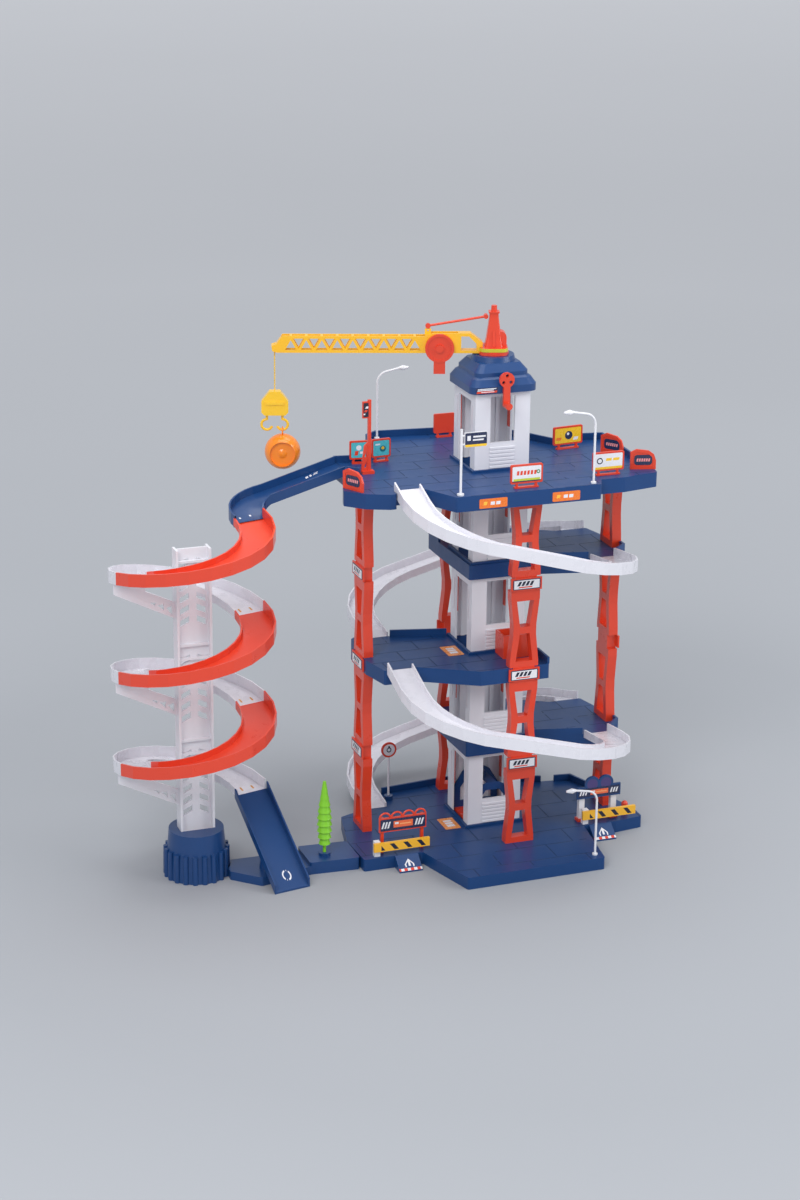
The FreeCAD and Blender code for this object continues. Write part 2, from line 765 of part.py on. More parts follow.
def pillar_segment(name, last):
    """One storey of a ladder pillar: a waisted frame with two windows, a neck and a plate."""
    main = "(storey_height - deck_depth)"
    half = "pillar_width / 2"
    waist = "pillar_waist / 2"
    neck = "neck_width / 2"
    top = f"{main} + deck_depth" if not last else f"{main} + deck_depth - skin_wall - seat_gap"
    outline = [
        (f"-{half}", "0"), (half, "0"), (half, "8"), (waist, f"{main} * 0.42"), (waist, f"{main} * 0.56"),
        (half, f"{main} * 0.9"), (half, main), (neck, main), (neck, top), (f"-{neck}", top),
        (f"-{neck}", main), (f"-{half}", main), (f"-{half}", f"{main} * 0.9"), (f"-{waist}", f"{main} * 0.56"),
        (f"-{waist}", f"{main} * 0.42"), (f"-{half}", "8"),
    ]
    wide = f"({half} - pillar_rail)"
    slim = f"({waist} - pillar_rail * 1.15)"
    lower = [(f"-{wide}", "8"), (wide, "8"), (slim, f"{main} * 0.44"), (f"-{slim}", f"{main} * 0.44")]
    upper = [(f"-{slim}", f"{main} * 0.53"), (slim, f"{main} * 0.53"), (wide, f"{main} * 0.87"),
             (f"-{wide}", f"{main} * 0.87")]
    return prism(name, outline, "pillar_depth", lower, upper)


def pillar(label, x, y, facing):
    """A stack of four segments with their label plates."""
    turns = {
        "front": FACING_FRONT,
        "back": Rotation(Vector(0, 0, 1), 180) * FACING_FRONT,
        "left": Rotation(Vector(0, 0, 1), -90) * FACING_FRONT,
        "right": FACING_SIDE,
    }
    outward = {"front": (0, -1), "back": (0, 1), "left": (-1, 0), "right": (1, 0)}[facing]
    segments = []
    for storey in range(STOREYS - 1):
        last = storey == STOREYS - 2
        name = f"{label}{storey}"
        segment = pillar_segment(name, last)
        base_x = f"{x} - {outward[0]} * pillar_depth / 2"
        base_y = f"{y} - {outward[1]} * pillar_depth / 2"
        place(segment, base_x, base_y, deck_top(storey), turns[facing])
        if last:
            segments.append(segment)
            continue
        sides = ("plate_width", "plate_wall") if outward[1] else ("plate_wall", "plate_width")
        plate_x = f"{x} + {outward[0]} * (pillar_depth + plate_wall) / 2"
        plate_y = f"{y} + {outward[1]} * (pillar_depth + plate_wall) / 2"
        plate = block(name + "Plate", *sides, "plate_height", plate_x, plate_y,
                      f"{deck_top(storey + 1)} - deck_depth / 2 - plate_height / 2")
        segments.append(join(name + "Joined", segment, plate))
    return keep(label, group(label + "Stack", *segments))


# Channels: ramps, chutes and spiral tracks


def channel(stations, width, fences, floor, wall, skirt=0):
    """A road with fences: a ruled loft through upright sections.

    A station is a point of the road's centre line and the heading in degrees. The fences are the
    left and the right heights, as seen along the road.
    """
    half = width / 2
    left, right = fences
    lows = [(-half, -floor), (half, -floor)]
    if skirt:
        lows = [(-half, -skirt), (wall - half, -skirt), (wall - half, -floor), (half - wall, -floor),
                (half - wall, -skirt), (half, -skirt)]
    outline = lows + [(half, right), (half - wall, right), (half - wall, 0), (wall - half, 0),
                      (wall - half, left), (-half, left)]
    wires = []
    for point, heading in stations:
        angle = math.radians(heading)
        across = Vector(math.sin(angle), -math.cos(angle), 0)
        corners = [point + across * side + Vector(0, 0, up) for side, up in outline]
        wires.append(Part.makePolygon(corners + [corners[0]]))
    return Part.makeLoft(wires, True, True)


def plan_path(corners, radii, turn_step):
    """Points and headings along straight runs joined by arcs, for corners in plan."""
    stations = []
    points = [Vector(*corner, 0) for corner in corners]
    reach = points[0]
    for number in range(1, len(points) - 1):
        before = (points[number] - points[number - 1]).normalize()
        after = (points[number + 1] - points[number]).normalize()
        heading = math.degrees(math.atan2(before.y, before.x))
        bend = math.degrees(math.atan2(before.x * after.y - before.y * after.x, before.dot(after)))
        radius = radii[number - 1]
        back = radius * math.tan(math.radians(abs(bend) / 2))
        start = points[number] - before * back
        if not stations:
            stations.append((reach, heading))
        side = 1 if bend > 0 else -1
        centre = start + Vector(-before.y, before.x, 0) * (radius * side)
        count = max(2, round(abs(bend) / turn_step))
        for step in range(count + 1):
            turn = bend * step / count
            spoke = Rotation(Vector(0, 0, 1), turn).multVec(start - centre)
            stations.append((centre + spoke, heading + turn))
    stations.append((points[-1], stations[-1][1]))
    return stations


def lay(stations, start_z, end_z, ease=1.0):
    """Gives a plan path its fall, from one height to another."""
    runs = [0]
    for (first, turn_a), (second, turn_b) in zip(stations, stations[1:]):
        runs.append(runs[-1] + (second - first).Length)
    laid = []
    for (point, heading), run in zip(stations, runs):
        share = 1 - (1 - run / runs[-1]) ** ease
        laid.append((point + Vector(0, 0, start_z + (end_z - start_z) * share), heading))
    return laid


def ramp(label, start_y, storey, half_turn):
    """A U-turn ramp from a deck's notch to the deck below."""
    x = value("ramp_x")
    joint = value("ramp_joint_x")
    front = value("ramp_front_y")
    gap = value("seat_gap")
    end_y = value("ramp_notch_y") - 2
    corners = [(-x, -start_y - gap), (-x, -front), (joint, -front), (joint, -end_y - gap)]
    path = plan_path(corners, (value("ramp_entry_bend"), value("ramp_exit_bend")), 15)
    high = value(deck_top(storey))
    path = lay(path, high, value(deck_top(storey - 1)), 1.25)
    fences = (value("ramp_fence_low"), value("ramp_fence"))
    shape = channel(path, value("ramp_width"), fences, value("ramp_floor"), value("ramp_wall"), value("ramp_skirt"))
    if half_turn:
        shape.rotate(Vector(), Vector(0, 0, 1), 180)
    return keep(label, made(label, shape))


def spiral_station(angle):
    """The point and heading of the spiral's centre line at an angle below its entry."""
    turn = math.radians(value("spiral_entry_angle") - angle)
    radius = value("spiral_radius")
    lift = value("spiral_lift_top" if angle < 360 else "spiral_lift") * math.sin(math.radians(angle / 2)) ** 2
    level = value("spiral_top") - value("spiral_pitch") * angle / 360 + lift
    spot = Vector(value("spiral_x") + radius * math.cos(turn), value("spiral_y") + radius * math.sin(turn), level)
    return spot, math.degrees(turn) - 90


def spiral_track(label, first_angle, last_angle):
    """Half a turn of the spiral, from one joint to the next."""
    count = 12
    angles = [first_angle + (last_angle - first_angle) * step / count for step in range(count + 1)]
    fences = (value("track_fence"), value("track_fence_low"))
    shape = channel([spiral_station(angle) for angle in angles], value("track_width"), fences,
                    value("track_floor"), value("track_wall"))
    return keep(label, made(label, shape))


def top_chute():
    """The chute from the roof deck to the head of the spiral."""
    end, heading = spiral_station(0)
    along = Vector(math.cos(math.radians(heading)), math.sin(math.radians(heading)), 0)
    start = Vector(value("chute_start_x - seat_gap"), value("chute_start_y"), 0)
    corner = end - along * ((start.y - end.y) / -along.y)
    corners = [(start.x, start.y), (corner.x, corner.y), (end.x, end.y)]
    path = plan_path(corners, (value("chute_bend"),), 12)
    straight = path[1][0] - path[0][0]
    extra = [(path[0][0] + straight * share, path[0][1]) for share in (0.33, 0.66)]
    path = lay([path[0], *extra, *path[1:]], value(deck_top(4)), end.z, 1.05)
    fences = (value("track_fence_low"), value("track_fence") - 4)
    shape = channel(path, value("track_width"), fences, value("track_floor"), value("track_wall"),
                    value("ramp_skirt"))
    return keep("top_chute", made("top_chute", shape))


def bottom_chute():
    """The straight chute from the foot of the spiral to the floor."""
    start, heading = spiral_station(3 * 360)
    end = Vector(value("chute_end_x"), value("chute_end_y"), value("track_floor"))
    along = end - start
    bearing = math.degrees(math.atan2(along.y, along.x))
    mouth = start + Rotation(Vector(0, 0, 1), heading).multVec(Vector(value("seat_gap"), 0, 0))
    stations = [(mouth, heading), (end, bearing)]
    fences = (value("track_fence_low") + 2, value("track_fence_low") + 2)
    shape = channel(stations, value("track_width") + 6, fences, value("track_floor"), value("track_wall"))
    return keep("bottom_chute", made("bottom_chute", shape))


# Spiral stand


def spiral_stand():
    """The fluted foot, the mast's three tiers, the brackets and the link arm."""
    x = "spiral_x"
    y = "spiral_y"
    drum = cone("FootDrum", "foot_radius - 3", "foot_radius - 5", "foot_height * 0.55", x, y, 0)
    head = cone("FootHead", "foot_shoulder + 1", "foot_shoulder - 2", "foot_height * 0.5", x, y, "foot_height * 0.5")
    flutes = []
    for number in range(20):
        angle = math.radians(18 * number)
        spot_x = f"{x} + (foot_radius - 4) * {math.cos(angle):.4f}"
        spot_y = f"{y} + (foot_radius - 4) * {math.sin(angle):.4f}"
        flutes.append(cone(f"FootFlute{number}", "4", "3.4", "foot_height * 0.6", spot_x, spot_y, 0))
    socket = block("MastSocket", "mast_width + 2 * seat_gap", "mast_depth + 2 * seat_gap", "20", x, y,
                   "foot_height - 8")
    keep("spiral_foot", cut("FootCut", join("Foot", drum, head, *flutes), socket))
    for tier, name in enumerate(("lower", "middle", "upper")):
        mast_tier(f"spiral_mast_{name}", tier)


def mast_tier(label, tier):
    """A tier of the lattice mast: a slotted web between two flanges."""
    height = "mast_tier"
    low = f"foot_height - 8 + {tier} * mast_tier"
    half = "mast_width / 2"
    slots = []
    for number in range(MAST_SLOTS):
        level = f"mast_tier * (0.2 + 0.12 * {number})"
        for sign in (-1, 1):
            inner = f"{sign} * 5"
            outer = f"{sign} * ({half} - 6)"
            slots.append([(inner, f"{level} + 6"), (outer, level), (outer, f"{level} + 8"), (inner, f"{level} + 14")])
    outline = [(f"-{half}", "0"), (half, "0"), (half, height), (f"-{half}", height)]
    web = prism(label + "Web", outline, "mast_wall", *slots)
    place(web, "spiral_x", "spiral_y + mast_wall / 2", low, FACING_FRONT)
    flanges = [block(f"{label}Flange{sign + 1}", "mast_wall", "mast_depth", height,
                     f"spiral_x + {sign} * ({half} - mast_wall / 2)", "spiral_y", low) for sign in (-1, 1)]
    bands = [block(f"{label}Band{number}", "mast_width", "mast_depth * 0.6", "mast_wall", "spiral_x",
                   "spiral_y", f"{low} + {share} * (mast_tier - mast_wall)") for number, share in enumerate((0, 0.88))]
    return keep(label, join(label + "Joined", web, *flanges, *bands))


def track_brackets():
    """Three lattice brackets from the mast to the track's left joints."""
    brackets = []
    mast_face = "spiral_x - mast_width / 2"
    for level in range(3):
        lift = "spiral_lift" if level else "spiral_lift_top"
        fall = f"spiral_pitch * ({level} + (180 + spiral_entry_angle) / 360)"
        under = f"(spiral_top - {fall} + {lift} * cos(spiral_entry_angle * 0.5) ^ 2 - track_floor - 1.3)"
        far = "(spiral_radius + track_width / 2 - 4 - mast_width / 2)"
        near = "(spiral_radius - track_width / 2 - mast_width / 2)"
        outline = [("0", "-54"), ("0", "-32"), (f"-{near}", "-14"), (f"-{near}", "0"), (f"-{far}", "0"),
                   (f"-{far}", "-14")]
        holes = []
        for step in range(5):
            right = 4 + step * 11
            low_right = -50 + step * 7.1 + 1.2
            high_right = -36 + step * 2.9
            holes.append([(f"-{right}", f"{low_right:.1f}"), (f"-{right}", f"{high_right:.1f}"),
                          (f"-{right + 8}", f"{(low_right + high_right) / 2 + 4:.1f}")])
        name = f"Bracket{level}"
        body = prism(name, outline, "bracket_wall", *holes[:4])
        brackets.append(place(body, mast_face, "spiral_y + bracket_wall / 2", under, FACING_FRONT))
    return keep("track_brackets", group("Brackets", *brackets))


def link_arm():
    """The arm that holds the spiral's foot to the garage, with its post and the tree's cup."""
    low_arm = prism("LowArm", [
        ("-262", "-80"), ("-262", "-30"), ("spiral_x + foot_radius * 0.8", "-28"),
        ("spiral_x + foot_radius * 0.8", "-64"), ("-346", "-96"),
    ], "arm_height")
    round_uprights(low_arm, "corner_round / 2 + 0.2")
    hollow_below(low_arm, "skin_wall")
    body = prism("ArmBlock", [("-208 - seat_gap", "-86"), ("-208 - seat_gap", "-30"), ("-276", "-26"),
                              ("-276", "-82")], "base_height")
    round_uprights(body, "corner_round / 2 + 0.2")
    hollow_below(body, "skin_wall")
    cup = cut("CupCut", rod("Cup", "8", "5", "-250", "-62", "base_height - 1"),
              rod("CupBore", "2.2 + run_gap", "6", "-250", "-62", "base_height"))
    foot_room = rod("ArmRoom", "foot_radius + seat_gap", "40", "spiral_x", "spiral_y", "-1")
    post = cone("ChutePost", "post_radius", "post_radius * 0.55", "34", "-332", "-66", "arm_height - 1")
    return join("ArmBodies", body, low_arm), cup, foot_room, post


def arm_and_post():
    """The link arm with its chute post trimmed to the chute's underside."""
    body, cup, foot_room, post = link_arm()
    start, heading = spiral_station(3 * 360)
    end = Vector(value("chute_end_x"), value("chute_end_y"), value("track_floor"))
    run = end - start
    under = value("track_floor") + value("seat_gap")
    side = Vector(-run.y, run.x, 0).normalize() * 60
    back = Vector(0, 0, 200)
    low = [start - Vector(0, 0, under), end - Vector(0, 0, under)]
    ring = [low[0] - side, low[1] - side, low[1] + side, low[0] + side, low[0] - side]
    above = made("ChuteSpace", Part.Face(Part.makePolygon(ring)).extrude(back))
    solid = join("ArmJoined", body, cup, post)
    return keep("link_arm", cut("ArmCut", solid, foot_room, above))


# Crane, built along -X and then turned to its bearing


def crane_turn(thing):
    """Turns a piece of the crane about the tower's axis to the jib's bearing."""
    thing.Placement = Placement(Vector(), Rotation(Vector(0, 0, 1), 1))
    thing.setExpression("Placement.Rotation.Angle", cells("-jib_bearing"))
    return thing


CROWN = f"({deck_top(4)} + storey_height - deck_depth + roof_height)"
JIB_LOW = f"({CROWN} + 1.5)"
WINCH_LEVEL = f"({JIB_LOW} + 7)"


def tapered(sections, corner, low):
    """A square column through heights and half widths, with round corners."""
    return Part.makeLoft([rounded_square(half, half * corner, low + up) for up, half in sections], True, True)


def turret():
    """The crane's turret: a banded frustum, a side lobe, a knob and the pivot spigot."""
    low = value(CROWN) + value("seat_gap")
    rise = value("mast_rise")
    flange = Part.makeCylinder(20, 3, Vector(0, 0, low))
    base = tapered([(0, 18), (9, 17.4)], 0.5, low)
    band = tapered([(5, 18.6), (9.5, 18.2)], 0.5, low)
    column = tapered([(8, 12), (20, 9.6), (rise - 6, 6), (rise, 5.6)], 0.3, low)
    cap = tapered([(rise - 0.5, 7), (rise + 1.5, 7)], 0.3, low)
    knob = Part.makeCone(4.2, 3.6, 8, Vector(0, 0, low + rise + 1))
    lobe = Part.makeCylinder(8, 15, Vector(8.5, -7.5, low + 22), Vector(0, 1, 0))
    lobe = lobe.fuse(Part.makeBox(16, 15, 18, Vector(0.5, -7.5, low + 4)))
    rib = Part.makeBox(3, 4, rise * 0.55, Vector(-1.5, -13, low + 8)).common(tapered([(8, 14), (rise, 4)], 0.3, low))
    spigot = Part.makeCylinder(value("pivot_radius"), 12, Vector(0, 0, low - 12))
    shape = flange.fuse([base, band, column, cap, knob, lobe, rib, spigot]).removeSplitter()
    gap = value("seat_gap")
    seat = Part.makeBox(20, value("jib_width") + 2 * gap, value("jib_depth") + 8,
                        Vector(-34, -value("jib_width") / 2 - gap, low - 1))
    return keep("crane_turret", crane_turn(made("Turret", shape.cut(seat))))


def crane_jib():
    """The lattice jib: two triangulated side plates with cross bars between them."""
    top = "jib_depth"
    reach = "jib_reach"
    first = "(winch_reach + 22)"
    last = f"({first} + {JIB_PANELS} * jib_panel)"
    outline = [
        ("14.2", "0"), (f"{reach} - 3", "0"), (f"{reach} + 3", "2"), (f"{reach} + 4", "9"), (f"{reach} - 2", "11"),
        (f"{last} + 1", top), (f"{first} - 8", top), (f"{first} - 12", f"{top} + 4"), ("44", f"{top} + 4"),
        ("30", f"{top} + 4"), ("14.2", "14"),
    ]
    chord = "jib_chord"
    holes = [[("22", chord), ("42", chord), ("42", top), ("32", top), ("22", "12")]]
    for panel in range(JIB_PANELS):
        left = f"({first} + {panel} * jib_panel)"
        right = f"({left} + jib_panel)"
        middle = f"({left} + jib_panel / 2)"
        bar = "jib_plate * 0.7"
        holes.append([(f"{left} + {bar} * 1.4", chord), (f"{right} - {bar} * 1.4", chord),
                      (middle, f"{top} - {chord} * 1.6")])
        if panel + 1 < JIB_PANELS:
            holes.append([(f"{middle} + {bar} * 1.4", f"{top} - {chord}"),
                          (f"{right}", f"{chord} * 1.6 "),
                          (f"{middle} + jib_panel - {bar} * 1.4", f"{top} - {chord}")])
    side = prism("JibSide", outline, "jib_width", *holes)
    place(side, 0, "jib_width / 2", JIB_LOW, Rotation(Vector(0, 0, 1), 180) * FACING_FRONT)
    side.setExpression("Placement.Base.y", cells("-jib_width / 2"))
    inner = "jib_width - 2 * jib_plate"
    slot = block("JibSlot", f"{last} - 44", inner, "jib_depth + 10", f"-(44 + {last}) / 2 - 2", 0, f"{JIB_LOW} - 1")
    bars = []
    for panel in range(JIB_PANELS + 1):
        x = f"-({first} + {panel} * jib_panel)"
        bars.append(block(f"JibBar{panel}", chord, "jib_width", chord, x, 0, JIB_LOW))
    for panel in range(JIB_PANELS):
        x = f"-({first} + ({panel} + 0.5) * jib_panel)"
        bars.append(block(f"JibTopBar{panel}", chord, "jib_width", chord, x, 0, f"{JIB_LOW} + {top} - {chord}"))
    plates = [block(f"WinchCheek{sign + 1}", "24", "jib_plate", "jib_depth + 2", "-winch_reach",
                    f"{sign} * (jib_width - jib_plate) / 2", JIB_LOW) for sign in (-1, 1)]
    stay_lug = block("StayLug", "8", "4", "7", "-(winch_reach + 15)", 0, f"{JIB_LOW} + jib_depth + 2")
    lug_bar = block("StayLugBar", "8", "jib_width", "3", "-(winch_reach + 15)", 0, f"{JIB_LOW} + jib_depth")
    tips = cut("JibTrimmed", side, slot)
    solid = join("JibJoined", tips, *bars, *plates, stay_lug, lug_bar)
    bore = rod("WinchBore", "shaft_radius + run_gap", "jib_width + 4", "-winch_reach", "-jib_width / 2 - 2",
               WINCH_LEVEL, ALONG_Y)
    cord_bore = rod("TipBore", "hoist_cord_radius + seat_gap", "12", f"-{reach}", 0, f"{JIB_LOW} - 1")
    pin = rod("StayPinBore", "1.2", "20", "-(winch_reach + 15)", "-10", f"{JIB_LOW} + jib_depth + 6.5", ALONG_Y)
    return keep("crane_jib", crane_turn(cut("JibCut", solid, bore, cord_bore, pin)))


def stay_rod():
    """The stay from the mast's head to the lug on the jib."""
    low = Vector(-value("winch_reach + 15"), 0, value(f"{JIB_LOW} + jib_depth + 9"))
    low.z += value("seat_gap") + 3.4
    high = Vector(-8.2, 0, value(CROWN) + value("mast_rise") - 5)
    along = (high - low).normalize()
    rod_solid = Part.makeCylinder(1.6, (high - low).Length - 1, low, along)
    eye = Part.makeCylinder(3.4, 4, low + Vector(0, -2, 0), Vector(0, 1, 0))
    head = Part.makeCylinder(3, 8, high + Vector(-2.2, -4, 0), Vector(0, 1, 0))
    return rod_solid, eye, head


def stay():
    """The stay rod, seated on the lug and against the turret's face."""
    rod_solid, eye, head = stay_rod()
    return keep("stay_rod", crane_turn(made("Stay", rod_solid.fuse([eye, head]).removeSplitter())))


def winch():
    """The hand wheel of the hoist with its tab, shaft and drum."""
    front = "-jib_width / 2 - seat_gap"
    disc = rod("WinchDisc", "winch_disc", "3", "-winch_reach", f"{front} - 3", WINCH_LEVEL, ALONG_Y)
    rim = cut("WinchRimCut", rod("WinchRim", "winch_disc", "4.4", "-winch_reach", f"{front} - 4.4", WINCH_LEVEL, ALONG_Y),
              rod("WinchRimRoom", "winch_disc - 3.2", "3", "-winch_reach", f"{front} - 6", WINCH_LEVEL, ALONG_Y))
    hub = rod("WinchHub", "5", "6.5", "-winch_reach", f"{front} - 6.5", WINCH_LEVEL, ALONG_Y)
    tab = block("WinchTab", "15", "3.4", "winch_disc + 15", "-winch_reach", f"{front} - 1.7",
                f"{WINCH_LEVEL} - winch_disc - 15")
    shaft = rod("WinchShaft", "shaft_radius", "jib_width + 2", "-winch_reach", f"{front} - 1", WINCH_LEVEL, ALONG_Y)
    drum = rod("WinchDrum", "drum_radius", "jib_width - 2 * jib_plate - 2 * seat_gap", "-winch_reach",
               "-jib_width / 2 + jib_plate + seat_gap", WINCH_LEVEL, ALONG_Y)
    return keep("winch_wheel", crane_turn(join("Winch", disc, rim, hub, tab, shaft, drum)))


BLOCK_TOP = f"({JIB_LOW} - hoist_drop)"
HOOK_LEVEL = f"({BLOCK_TOP} - block_height - 3 * hook_radius)"


def hoist_cord():
    """The straight cord from the jib's tip down to the hook block."""
    line = rod("HoistLine", "hoist_cord_radius", "hoist_drop + 9", "-jib_reach", 0, BLOCK_TOP)
    return keep("hoist_cord", crane_turn(group("HoistCord", line)))


def hook(name, x, level, turn):
    """A hook: a shank and an open ring of round wire."""
    shank = rod(name + "Shank", "hook_wire", "hook_radius * 1.9", x, 0, f"{level} + hook_radius - 1")
    ring = bind(doc.addObject("Part::Torus", name + "Ring"), Radius1="hook_radius", Radius2="hook_wire")
    ring.Angle3 = 250
    place(ring, x, 0, level, turn)
    return [shank, ring]


def hook_block():
    """The hook block with its two hooks."""
    half = "block_width / 2"
    outline = [
        (f"-{half}", "4"), (f"-{half} + 4", "0"), (f"{half} - 4", "0"), (half, "4"),
        (half, "block_height * 0.58"), (f"{half} * 0.4", "block_height"), (f"-{half} * 0.4", "block_height"),
        (f"-{half}", "block_height * 0.58"),
    ]
    body = prism("BlockBody", outline, "block_depth")
    place(body, "-jib_reach", "block_depth / 2", f"{BLOCK_TOP} - block_height", FACING_FRONT)
    face = block("BlockRidge", "block_width * 0.7", "block_depth + 2.4", "4", "-jib_reach", 0,
                 f"{BLOCK_TOP} - block_height * 0.55")
    low = f"({BLOCK_TOP} - block_height)"
    tilt = FACING_FRONT * Rotation(Vector(0, 0, 1), 200)
    flip = FACING_FRONT * Rotation(Vector(0, 0, 1), 90)
    left = hook("HookLeft", "-jib_reach - block_width * 0.3", f"{low} - hook_radius * 1.9", flip)
    right = hook("HookRight", "-jib_reach + block_width * 0.28", f"{low} - hook_radius * 1.9", tilt)
    return left, right, body, face


def hook_assembly():
    """The block fused with its hooks, turned with the crane."""
    left, right, body, face = hook_block()
    return keep("hook_block", crane_turn(join("HookBlock", body, face, *left, *right)))


# Street furniture


def bent_tube(points, radius, bend):
    """A round tube along straight runs joined by one arc."""
    start, corner, finish = points
    before = (corner - start).normalize()
    after = (finish - corner).normalize()
    back = bend * math.tan(before.getAngle(after) / 2)
    first = corner - before * back
    second = corner + after * back
    spin = (after - before).normalize()
    centre = corner + spin * (bend / math.cos(before.getAngle(after) / 2))
    middle = centre - spin * bend
    path = Part.Wire([Part.LineSegment(start, first).toShape(), Part.Arc(first, middle, second).toShape(),
                      Part.LineSegment(second, finish).toShape()])
    section = Part.Wire([Part.Circle(start, before, radius).toShape()])
    return path.makePipeShell([section], True, False)


def street_lamps():
    """Three street lamps: foot, bent post and lamp head."""
    lamps = []
    rise = value("lamp_height")
    reach = value("lamp_reach")
    radius = value("lamp_radius")
    spots = [((90, -130), deck_top(4), -1), ((-104, 156), deck_top(4), 1), ((90, -176), "base_height", -1)]
    for (x, y), level, side in spots:
        low = Vector(x, y, value(level))
        corner = low + Vector(0, 0, rise * 0.94)
        end = low + Vector(side * reach, 0, rise)
        post = bent_tube((low, corner, end), radius, rise * 0.16)
        foot = Part.makeCylinder(radius * 2.4, 2, low)
        outward = Vector(side, 0, 0)
        near = Part.makeCone(radius, 3.6, 6, end - outward * 2, outward)
        far = Part.makeCone(3.6, 1.6, 8, end + outward * 4, outward)
        lamps.append(post.fuse([foot, near, far]).removeSplitter())
    return keep("street_lamps", made("Lamps", Part.makeCompound(lamps)))


def billboard(name, width, height, legs):
    """A framed board on two legs with a foot, centred on its foot's middle."""
    half = f"{width} / 2"
    frame = prism(name + "Frame", [(f"-{half}", legs), (half, legs), (half, f"{legs} + {height}"),
                                   (f"-{half}", f"{legs} + {height}")], "board_wall")
    round_uprights(frame, 2)
    place(frame, 0, "board_wall / 2", 0, FACING_FRONT)
    room = block(name + "Room", f"{width} - 4", "1", f"{height} - 4", 0, "-board_wall / 2", f"{legs} + 2")
    posts = [block(f"{name}Leg{sign + 1}", "3", "2.4", f"{legs} + 2", f"{sign} * {half} * 0.6", 0, 0)
             for sign in (-1, 1)]
    foot = block(name + "Foot", f"{width} * 0.75", "5", "2", 0, 0, 0)
    return cut(name + "Cut", join(name + "Joined", frame, *posts, foot), room)


def billboards():
    """The advertising boards on the roof deck."""
    spots = [
        ("Front", 0, -122, 0, "board_width", "board_height"),
        ("Right", 123, -100, 0, "board_width", "board_height"),
        ("BackRight", 123, 33, 6, "board_width", "board_height"),
        ("TealLeft", -166, 48, -8, "27", "board_height"),
        ("TealRight", -136, 49, 4, "27", "board_height"),
        ("BackLeft", -14, 138, 180, "30", "board_height + 2"),
    ]
    boards = []
    for name, x, y, angle, width, height in spots:
        board = billboard("Board" + name, width, height, "6")
        place(board, x, y, deck_top(4), Rotation(Vector(0, 0, 1), angle))
        boards.append(board)
    return keep("billboards", group("Boards", *boards))


def edge_signs():
    """The arched edge signs on the roof deck."""
    signs = []
    for number, (x, y, angle) in enumerate(((-212, -66, -62), (178, -88, -15), (171, -8, -55))):
        outline = [("-17", "0"), ("17", "0"), ("17", "12"), ("14", "20"), ("7", "25"), ("-9", "27"), ("-17", "23")]
        room = [("-13", "5"), ("13", "5"), ("13", "12"), ("11", "17"), ("6", "21"), ("-8", "23"), ("-13", "20")]
        frame = prism(f"EdgeSign{number}", outline, "board_wall")
        panel = prism(f"EdgePanel{number}", room, "board_wall - 1.4")
        cutter = place(panel, 0, 0, "board_wall - 0.7")
        sign = cut(f"EdgeSignCut{number}", frame, cutter)
        turn = Rotation(Vector(0, 0, 1), angle) * FACING_FRONT
        signs.append(place(sign, x, y, deck_top(4), turn))
    return keep("edge_signs", group("EdgeSigns", *signs))


def tall_sign():
    """The tall red mast sign on the roof deck."""
    level = deck_top(4)
    post = block("TallPost", "4", "4", "98", "-169", "1", level)
    foot = block("TallFoot", "16", "10", "4", "-171", "1", level)
    flag = block("TallFlag", "9", "3", "22", "-174", "1", f"{level} + 74")
    brace = prism("TallBrace", [("0", "0"), ("-10", "0"), ("-6", "34"), ("0", "40")], "3",
                  [("-3", "5"), ("-6.5", "5"), ("-3", "14")], [("-3", "19"), ("-5.6", "19"), ("-3", "28")])
    place(brace, "-170", "2.5", f"{level} + 3", FACING_FRONT)
    return keep("tall_sign", join("TallSign", post, foot, flag, brace))


def post_signs():
    """The round sign on the ground plate and the board on a post on the roof deck."""
    foot = rod("RoundFoot", "6", "6", "-108", "86", "base_height")
    post = rod("RoundPost", "1.5", "sign_post - 8", "-108", "86", "base_height + 5")
    disc = rod("RoundDisc", "11", "2.4", "-108", "84.8", "base_height + sign_post", ALONG_Y)
    keep("round_sign", join("RoundSign", foot, post, disc))
    level = deck_top(4)
    mast = rod("BoardPost", "1.6", "86", "-92", "-129", level)
    mast_foot = rod("BoardFoot", "4.5", "2", "-92", "-129", level)
    board = block("SignBoard", "30", "2.4", "19", "-73", "-129", f"{level} + 62")
    arms = [rod(f"BoardArm{number}", "1.2", "8", "-92", "-129", f"{level} + {up}", ALONG_X)
            for number, up in enumerate((66, 77))]
    keep("post_sign", join("PostSign", mast, mast_foot, board, *arms))


